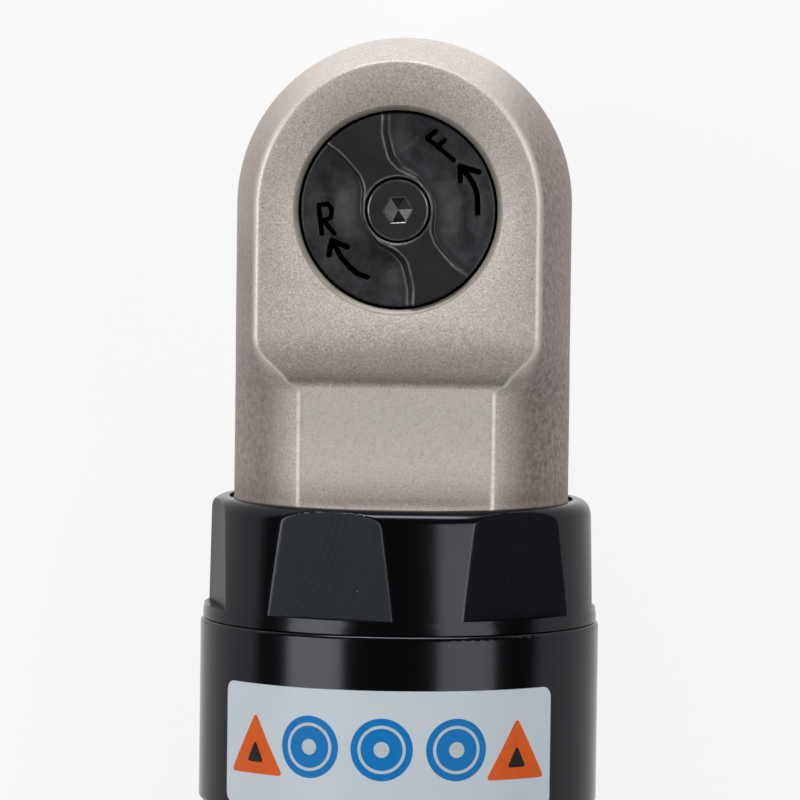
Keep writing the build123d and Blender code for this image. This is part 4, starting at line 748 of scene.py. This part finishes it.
def lock_nut():
    turn = np.linspace(0, 2 * math.pi, NUT_AROUND, endpoint=False)
    beside = np.radians((np.degrees(turn) - FIRST_FLAT + 30) % 60 - 30)
    flat = NUT_FLAT / np.cos(beside)
    slope = NUT_TAPER / (FLAT_REAR - NUT_FRONT)
    points, milled, worn, sweep = [], [], [], []

    def add(station, radius, is_flat):
        radius = np.full(NUT_AROUND, float(radius))
        cut = (radius - flat) / FLAT_SOFT
        if is_flat:
            mixed = np.clip(0.5 + 0.5 * cut, 0, 1)
            radius = radius * (1 - mixed) + flat * mixed - FLAT_SOFT * mixed * (1 - mixed)
        points.append(np.stack([radius * np.sin(turn), np.full(NUT_AROUND, -station),
                                AXIS + radius * np.cos(turn)], 1))
        milled.append(smooth_step(cut) * is_flat)
        # Thin pale lines along the flats' borders: wear and a painted highlight
        worn.append(np.exp(-cut ** 2) * is_flat)
        sweep.append(np.hypot(NUT_FLAT * np.tan(beside) - CUTTER[0], station - CUTTER[1]))

    add(NUT_FRONT, NUT_MOUTH, True)
    for a in np.linspace(math.pi / 2, 0, 14):
        behind = NUT_ROUND * (1 - math.sin(a))
        add(NUT_FRONT + behind, NUT_RADIUS - NUT_TAPER - NUT_ROUND * (1 - math.cos(a)) + slope * behind, True)
    for station in NUT_STATIONS:
        add(station, NUT_RADIUS - slope * (FLAT_REAR - station), True)
    for station, radius in ((FLAT_REAR + 0.02, NUT_RADIUS), (FLAT_REAR + 0.3, NUT_RADIUS + 0.02),
                            (46.9, NUT_LEDGE - 0.02), (47.3, NUT_LEDGE), (NUT_REAR - 0.05, NUT_LEDGE),
                            (NUT_REAR, NUT_LEDGE - 0.06), (NUT_REAR, NUT_BORE), (NUT_FRONT + 1, NUT_BORE),
                            (NUT_FRONT + 1, NUT_MOUTH)):
        add(station, radius, False)
    values = {"milled": milled, "wear": worn, "sweep": sweep}
    nut = piece("turned_lock_nut", np.concatenate(points), loop_faces(len(points), NUT_AROUND),
                finishes["black_steel"], "housing", 38,
                {key: np.concatenate(value) for key, value in values.items()})
    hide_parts("lock_nut")


# Label and its printing, laid on the gear case

LABEL_REAR, LABEL_FRONT = (-corner.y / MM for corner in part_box("label"))
LABEL_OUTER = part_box("label")[1].z / MM - AXIS
LABEL_LEFT, LABEL_RIGHT, LABEL_CORNER, LABEL_THICK = -55.0, 51.0, 1.2, 0.15
DEGREE = math.radians(1) * LABEL_OUTER
PRINT, STRIP = 0.03, 0.8
PRINT_STATION, DISC_ANGLES, TRIANGLE_ANGLES = 60.75, (-23.3, -2.1, 19.2), (-42.0, 38.2)


def wrapped(name, outlines, low, high, material):
    """A thin curved sheet between two radii. Outlines are places along the arc and stations."""
    work = bmesh.new()
    for outline in outlines:
        verts = [work.verts.new((a, s, 0)) for a, s in outline]
        for p, q in zip(verts, verts[1:] + verts[:1]):
            work.edges.new((p, q))
    bmesh.ops.triangle_fill(work, use_beauty=True, edges=work.edges[:], normal=(0, 0, 1))
    # Cut into narrow strips that can bend round the case
    span = [v.co.x for v in work.verts]
    for place in np.arange(math.floor(min(span)) + STRIP / 2, max(span), STRIP):
        bmesh.ops.bisect_plane(work, geom=work.verts[:] + work.edges[:] + work.faces[:], dist=1e-6,
                               plane_co=(place, 0, 0), plane_no=(1, 0, 0))
    for item in bmesh.ops.extrude_face_region(work, geom=work.faces[:])["geom"]:
        if isinstance(item, bmesh.types.BMVert):
            item.co.z = 1
    for vertex in work.verts:
        arc, station, level = vertex.co
        radius = high if level > 0.5 else low
        angle = arc / LABEL_OUTER
        vertex.co = (radius * math.sin(angle) * MM, -station * MM, (AXIS + radius * math.cos(angle)) * MM)
    bmesh.ops.recalc_face_normals(work, faces=work.faces)
    return dress(name, mesh_from(work, name), [material], "housing")


def on_circle(x, y, radius, angle):
    return x + radius * math.cos(angle), y + radius * math.sin(angle)


def disc(x, y, radius, count=72):
    return [on_circle(x, y, radius, 2 * math.pi * step / count) for step in range(count)]


def round_box(left, right, front, rear, corner):
    """Outline of a rectangle with round corners."""
    middles = ((right - corner, rear - corner, 0), (left + corner, rear - corner, 90),
               (left + corner, front + corner, 180), (right - corner, front + corner, 270))
    return [on_circle(x, y, corner, math.radians(start + a))
            for x, y, start in middles for a in range(0, 91, 10)]


def round_triangle(x, y, width, height, corner):
    """Outline of a triangle with round corners, its point towards the nose."""
    corners = np.array([(x - width / 2, y + height / 2), (x, y - height / 2),
                        (x + width / 2, y + height / 2)])
    outline = []
    for number, point in enumerate(corners):
        before, after = corners[number - 1] - point, corners[(number + 1) % 3] - point
        before, after = before / np.hypot(*before) * corner, after / np.hypot(*after) * corner
        outline += [tuple(p) for p in rounded(point + before, point, point + after, 6)]
    return outline


def case_label():
    outline = round_box(LABEL_LEFT * DEGREE, LABEL_RIGHT * DEGREE, LABEL_FRONT, LABEL_REAR, LABEL_CORNER)
    sheet = wrapped("case_label", [outline], LABEL_OUTER - LABEL_THICK, LABEL_OUTER - PRINT,
                    finishes["label_vinyl"])
    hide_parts("label")
    blue, orange, white, dark = (print_ink(name, colour) for name, colour in (
        ("blue_ink", (4, 134, 214)), ("orange_ink", (248, 106, 36)),
        ("white_ink", (214, 226, 232)), ("dark_ink", (34, 30, 30))))
    ground = (LABEL_OUTER - PRINT, LABEL_OUTER - PRINT / 2)
    figure = (LABEL_OUTER - PRINT / 2, LABEL_OUTER)
    for number, angle in enumerate(DISC_ANGLES, 1):
        middle = (angle * DEGREE, PRINT_STATION)
        wrapped(f"blue_disc_{number}", [disc(*middle, 3.55)], *ground, blue)
        wrapped(f"disc_ring_{number}", [disc(*middle, 2.75), disc(*middle, 2.4)], *figure, white)
        wrapped(f"disc_spot_{number}", [disc(*middle, 0.9)], *figure, white)
    for number, angle in enumerate(TRIANGLE_ANGLES, 1):
        x, y = angle * DEGREE, PRINT_STATION + 0.1
        wrapped(f"orange_triangle_{number}", [round_triangle(x, y, 8.2, 7.0, 0.7)], *ground, orange)
        wrapped(f"triangle_spot_{number}", [round_triangle(x, y + 0.9, 2.6, 2.5, 0.5)], *figure, dark)


head_casting()
reversing_knob()
knob_cap_screw()
throttle_spring()
lock_nut()
case_label()


# Geometry Nodes, in metres: what repeats on the grip, the lever, the deflector and the air inlet

RIB_SUNK, KNURL_SUNK, KNURL_BEHIND, THREAD_BEHIND = 0.00056, 0.0001, 0.0033, 0.0008


class Tree:
    """A Geometry Nodes tree whose nodes are added by short calls."""

    def __init__(self, name, **inputs):
        self.group = bpy.data.node_groups.new(name, "GeometryNodeTree")
        sockets = self.group.interface
        sockets.new_socket("Geometry", in_out="INPUT", socket_type="NodeSocketGeometry")
        sockets.new_socket("Geometry", in_out="OUTPUT", socket_type="NodeSocketGeometry")
        for key, value in inputs.items():
            kind = "NodeSocketInt" if isinstance(value, int) else "NodeSocketFloat"
            sockets.new_socket(key, in_out="INPUT", socket_type=kind).default_value = value
        self.entry = self.group.nodes.new("NodeGroupInput")
        self.exit = self.group.nodes.new("NodeGroupOutput")

    def size(self, key):
        return self.entry.outputs[key]

    def node(self, kind, settings=None, **values):
        """Add a node and fill its inputs, named with underscores or given by number as _0, _1."""
        made = self.group.nodes.new(kind)
        for key, value in (settings or {}).items():
            setattr(made, key, value)
        for key, value in values.items():
            socket = made.inputs[int(key[1:])] if key[0] == "_" else made.inputs[key.replace("_", " ")]
            if isinstance(value, bpy.types.NodeSocket):
                self.group.links.new(value, socket)
            elif isinstance(value, bpy.types.Node):
                self.group.links.new(value.outputs[0], socket)
            else:
                socket.default_value = value
        return made

    def math(self, kind, first, second):
        return self.node("ShaderNodeMath", {"operation": kind}, _0=first, _1=second).outputs[0]

    def vector(self, x=0.0, y=0.0, z=0.0):
        return self.node("ShaderNodeCombineXYZ", X=x, Y=y, Z=z).outputs[0]

    def behind(self, key, height):
        """A vector to a station, or a step rearwards, at a height."""
        return self.vector(0.0, self.math("MULTIPLY", self.size(key), -1.0), height)

    def moved(self, geometry, **values):
        return self.node("GeometryNodeTransform", Geometry=geometry, **values)

    def copies(self, points, instance, **values):
        return self.node("GeometryNodeInstanceOnPoints", Points=points, Instance=instance, **values)

    def finish(self, geometry, material):
        """End in real geometry with its material."""
        real = self.node("GeometryNodeRealizeInstances", Geometry=geometry)
        smooth = self.node("GeometryNodeSetShadeSmooth", Geometry=real)
        last = self.node("GeometryNodeSetMaterial", Geometry=smooth, Material=material)
        self.group.links.new(last.outputs[0], self.exit.inputs[0])


def grown(name, tree, sizes, body):
    """Run a tree with its sizes and keep the result as a plain mesh piece on a body."""
    base = bpy.data.objects.new(name + "_base", bpy.data.meshes.new(name + "_base"))
    bpy.context.scene.collection.objects.link(base)
    grow = base.modifiers.new("grow", "NODES")
    grow.node_group = tree.group
    for item in tree.group.interface.items_tree:
        if item.in_out == "INPUT" and item.name in sizes:
            grow[item.identifier] = sizes[item.name]
    depsgraph = bpy.context.evaluated_depsgraph_get()
    mesh = bpy.data.meshes.new_from_object(base.evaluated_get(depsgraph))
    base.modifiers.remove(grow)
    bpy.data.objects.remove(base)
    # The base had an empty material slot, so every face is set to the first that is left
    materials = [material for material in mesh.materials if material]
    mesh.materials.clear()
    mesh.polygons.foreach_set("material_index", [0] * len(mesh.polygons))
    mesh.name = name
    dress(name, mesh, materials, body)


def ring_of(tree, count, radius, middle):
    """Points evenly round the tool's axis in a plane across it."""
    ring = tree.node("GeometryNodeMeshCircle", Vertices=count, Radius=radius)
    return tree.moved(ring, Translation=middle, Rotation=(math.pi / 2, 0, 0))


def row_of(tree, count, height):
    """Points in a row rearwards from the first station."""
    return tree.node("GeometryNodeMeshLine", Count=count, Start_Location=tree.behind("first", height),
                     Offset=tree.behind("pitch", 0.0))


def away_from_axis(tree):
    """A turn that points a piece's Z away from the tool's axis."""
    place = tree.node("ShaderNodeSeparateXYZ", _0=tree.node("GeometryNodeInputPosition"))
    out = tree.vector(place.outputs[0], 0.0, tree.math("SUBTRACT", place.outputs[2], AXIS_Z))
    return tree.node("FunctionNodeAlignRotationToVector", {"axis": "Z"}, Vector=out)


def grip_studs():
    """Small round studs on the lands between the grip's grooves, each row half a step on."""
    low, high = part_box("grip_sleeve")
    rows = 13
    pitch = (high.y - low.y) / rows
    tree = Tree("grip_studs", rows=rows, studs=48, pitch=0.005, first=0.084, radius=0.0227, stud=0.0009,
                depth=0.0007, sunk=-0.00045, seed=4)
    ring = ring_of(tree, tree.size("studs"), tree.size("radius"), (0, 0, 0))
    half_step = tree.math("DIVIDE", math.pi, tree.size("studs"))
    odd = tree.math("MODULO", tree.node("GeometryNodeInputIndex").outputs[0], 2.0)
    turn = tree.vector(0.0, tree.math("MULTIPLY", odd, half_step), 0.0)
    places = tree.copies(row_of(tree, tree.size("rows"), AXIS_Z), ring, Rotation=turn)
    places = tree.node("GeometryNodeRealizeInstances", Geometry=places)
    cone = tree.node("GeometryNodeMeshCone", Vertices=10, Radius_Bottom=tree.size("stud"),
                     Radius_Top=tree.math("MULTIPLY", tree.size("stud"), 0.62), Depth=tree.size("depth"))
    sunk = tree.moved(cone, Translation=tree.vector(0.0, 0.0, tree.size("sunk")))
    worn = tree.node("FunctionNodeRandomValue", {"data_type": "FLOAT"}, Seed=tree.size("seed"))
    for socket in worn.inputs:
        if socket.type == "VALUE" and socket.name in ("Min", "Max"):
            socket.default_value = 0.96 if socket.name == "Min" else 1.0
    studs = tree.copies(places, sunk, Rotation=away_from_axis(tree),
                        Scale=next(s for s in worn.outputs if s.type == "VALUE"))
    tree.finish(studs, finishes["grip_rubber"])
    sizes = {"pitch": pitch, "first": -high.y + pitch / 2, "radius": high.x}
    grown("grip_studs", tree, sizes, "housing")


def lever_ribs():
    """Low bars across the lever's upper side, laid on its real surface."""
    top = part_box("throttle_lever")[1].z
    tree = Tree("lever_ribs", ribs=9, pitch=0.0040, first=0.1675, length=0.0100, height=0.00055, top=0.0606)
    lever = tree.node("GeometryNodeObjectInfo", Object=nodes["throttle_lever"])
    hit = tree.node("GeometryNodeRaycast", Target_Geometry=lever.outputs["Geometry"],
                    Ray_Direction=(0, 0, -1))
    x, y, z = tree.node("ShaderNodeSeparateXYZ", _0=hit.outputs["Hit Position"]).outputs
    level = tree.math("MINIMUM", z, tree.size("top"))
    laid = tree.node("GeometryNodeSetPosition", Geometry=row_of(tree, tree.size("ribs"), top + 0.01),
                     Position=tree.vector(x, y, level))
    rod = tree.node("GeometryNodeMeshCylinder", Vertices=12, Radius=tree.size("height"),
                    Depth=tree.size("length"))
    rod = tree.moved(rod, Rotation=(0, math.pi / 2, 0), Scale=(1, 2, 1))
    tree.finish(tree.copies(laid, rod), finishes["lever_black"])
    grown("lever_ribs", tree, {"top": top - RIB_SUNK}, "lever")


def deflector_knurl():
    """Straight ridges round the exhaust deflector, to turn it by."""
    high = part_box("exhaust_deflector")[1]
    tree = Tree("deflector_knurl", ridges=90, radius=0.0213, ridge=0.0004, length=0.004, middle=0.246)
    ring = ring_of(tree, tree.size("ridges"), tree.size("radius"), tree.behind("middle", AXIS_Z))
    rod = tree.node("GeometryNodeMeshCylinder", Vertices=8, Radius=tree.size("ridge"),
                    Depth=tree.size("length"))
    ridges = tree.copies(ring, tree.moved(rod, Rotation=(math.pi / 2, 0, 0)), Rotation=away_from_axis(tree))
    tree.finish(ridges, finishes["handle_black"])
    sizes = {"radius": high.x - KNURL_SUNK, "middle": -high.y + KNURL_BEHIND}
    grown("deflector_knurl", tree, sizes, "deflector")


def inlet_thread():
    """The pipe thread inside the air inlet, a sharp ridge along a spiral."""
    tree = Tree("inlet_thread", radius=0.0057, pitch=0.00141, turns=8.0, depth=0.0008, mouth=0.26)
    spiral = tree.node("GeometryNodeCurveSpiral", Resolution=40, Rotations=tree.size("turns"),
                       Start_Radius=tree.size("radius"), End_Radius=tree.size("radius"),
                       Height=tree.math("MULTIPLY", tree.size("pitch"), tree.size("turns")))
    turned = tree.moved(spiral, Rotation=(-math.pi / 2, 0, 0), Translation=tree.behind("mouth", AXIS_Z))
    ridge = tree.node("GeometryNodeCurvePrimitiveCircle", Resolution=4, Radius=tree.size("depth"))
    thread = tree.node("GeometryNodeCurveToMesh", Curve=turned, Profile_Curve=ridge, Fill_Caps=True)
    tree.finish(thread, finishes["zinc_steel"])
    mouth = -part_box("inlet_bushing")[0].y - THREAD_BEHIND
    grown("inlet_thread", tree, {"mouth": mouth}, "housing")


grip_studs()
lever_ribs()
deflector_knurl()
inlet_thread()


# Floor, light and camera

FLOOR_RADIUS, FLOOR_AROUND, FLOOR_MIDDLE = 3000, 96, -100
# The tool lies on the drive's end and the barrel's rear, so the floor slopes along it
FLOOR_SLOPE, FLOOR_LEVEL_AT, FLOOR_GAP = 8.9 / 235.15, -6.35, 0.1
FLOOR_GLOW, WALL_GREY, WORLD_STRENGTH = 0.85, 0.84, 0.1
LAMP_TARGET = Vector((0, -0.03, 0.03))
CAMERA_PLACE, CAMERA_TURNS, FOCAL_LENGTH = (0.03758, 0.03594, 0.9027), (2.486, -3.845, 0.736), 340.6


def stage_floor():
    """A wide, pale, flat floor that the tool lies on."""
    points = [(0, FLOOR_MIDDLE)] + [on_circle(0, FLOOR_MIDDLE, FLOOR_RADIUS, turn)
                                    for turn in np.linspace(0, 2 * math.pi, FLOOR_AROUND, endpoint=False)]
    mesh = bpy.data.meshes.new("floor")
    mesh.from_pydata([(x * MM, y * MM, (-(y - FLOOR_LEVEL_AT) * FLOOR_SLOPE - FLOOR_GAP) * MM)
                      for x, y in points], [],
                     [(0, 1 + step, 1 + (step + 1) % FLOOR_AROUND) for step in range(FLOOR_AROUND)])
    floor = bpy.data.objects.new("floor", mesh)
    bpy.context.scene.collection.objects.link(floor)
    m = Shader("floor_card")
    grain = m.noise(1.5, 3, 0.5)
    m.set(Base_Color=m.mix(grain, (0.88, 0.88, 0.88), (0.92, 0.92, 0.92)), Roughness=0.9)
    m.set(Specular_IOR_Level=0.2, Normal=m.bump(grain, 0.05, 0.1))
    # The camera, metal and glass see a card that glows evenly, and still see a soft shadow
    glow = m.node("Emission", "Emission", Color=(1, 1, 1), Strength=1.0)
    seen = m.tree.nodes.new("ShaderNodeLightPath").outputs
    direct = m.math("MAXIMUM", seen["Is Camera Ray"], seen["Is Glossy Ray"])
    direct = m.math("MAXIMUM", direct, seen["Is Transmission Ray"])
    blend = m.tree.nodes.new("ShaderNodeMixShader")
    for socket, source in zip(blend.inputs, (m.times(direct, FLOOR_GLOW), m.surface.outputs["BSDF"], glow)):
        m.link(source, socket)
    m.link(blend.outputs[0], m.output.inputs["Surface"])
    floor.data.materials.append(m.material)


def softbox(name, side, nose, size, brightness, distance=0.9):
    """An area lamp that faces the head, leaning from straight up by degrees towards +X and towards the nose.

    The size is width and length, and the brightness is its radiance."""
    lamp = bpy.data.lights.new(name, "AREA")
    lamp.shape = "RECTANGLE"
    lamp.size, lamp.size_y = size
    lamp.energy = brightness * math.pi * size[0] * size[1]
    made = bpy.data.objects.new(name, lamp)
    way = Vector((math.tan(math.radians(side)), math.tan(math.radians(nose)), 1)).normalized()
    made.location = LAMP_TARGET + way * distance
    made.rotation_euler = way.to_track_quat("Z", "Y").to_euler()
    bpy.context.scene.collection.objects.link(made)


def studio():
    softbox("left_softbox", -47, 4, (0.5, 0.55), 4.1)
    softbox("right_softbox", 41, 4, (0.62, 0.55), 2.8)
    softbox("nose_softbox", 0, 80, (0.9, 0.24), 10.8)
    world = bpy.data.worlds.new("studio")
    bpy.context.scene.world = world
    world.use_nodes = True
    tree = world.node_tree
    dim = tree.nodes["Background"]
    dim.inputs["Color"].default_value = (1, 1, 1, 1)
    dim.inputs["Strength"].default_value = WORLD_STRENGTH
    pale = tree.nodes.new("ShaderNodeBackground")
    pale.inputs["Color"].default_value = (WALL_GREY, WALL_GREY, WALL_GREY, 1)
    # The camera, metal and glass see a pale wall; above it metal and glass see the dark ceiling
    seen = tree.nodes.new("ShaderNodeLightPath").outputs
    height = tree.nodes.new("ShaderNodeSeparateXYZ")
    tree.links.new(tree.nodes.new("ShaderNodeTexCoord").outputs["Generated"], height.inputs[0])
    wall = tree.nodes.new("ShaderNodeMapRange")
    tree.links.new(height.outputs["Z"], wall.inputs["Value"])
    for socket, value in (("From Min", -0.02), ("From Max", 0.08), ("To Min", 1.0), ("To Max", 0.0)):
        wall.inputs[socket].default_value = value

    def joined(operation, first, second):
        made = tree.nodes.new("ShaderNodeMath")
        made.operation = operation
        tree.links.new(first, made.inputs[0])
        tree.links.new(second, made.inputs[1])
        return made.outputs[0]

    mirrored = joined("MAXIMUM", seen["Is Glossy Ray"], seen["Is Transmission Ray"])
    mirrored = joined("MULTIPLY", mirrored, wall.outputs[0])
    mix = tree.nodes.new("ShaderNodeMixShader")
    sources = (joined("MAXIMUM", seen["Is Camera Ray"], mirrored), dim.outputs[0], pale.outputs[0])
    for socket, source in zip(mix.inputs, sources):
        tree.links.new(source, socket)
    tree.links.new(mix.outputs[0], tree.nodes["World Output"].inputs["Surface"])


def camera():
    lens = bpy.data.cameras.new("camera")
    lens.sensor_width = 36
    lens.lens = FOCAL_LENGTH
    lens.clip_end = 20
    made = bpy.data.objects.new("camera", lens)
    over, along, roll = (Matrix.Rotation(math.radians(angle), 4, axis)
                         for angle, axis in zip(CAMERA_TURNS, "YXZ"))
    made.matrix_world = Matrix.Translation(CAMERA_PLACE) @ (over @ along @ roll)
    bpy.context.scene.collection.objects.link(made)
    bpy.context.scene.camera = made


stage_floor()
studio()
camera()
bpy.context.scene.view_settings.view_transform = "Standard"
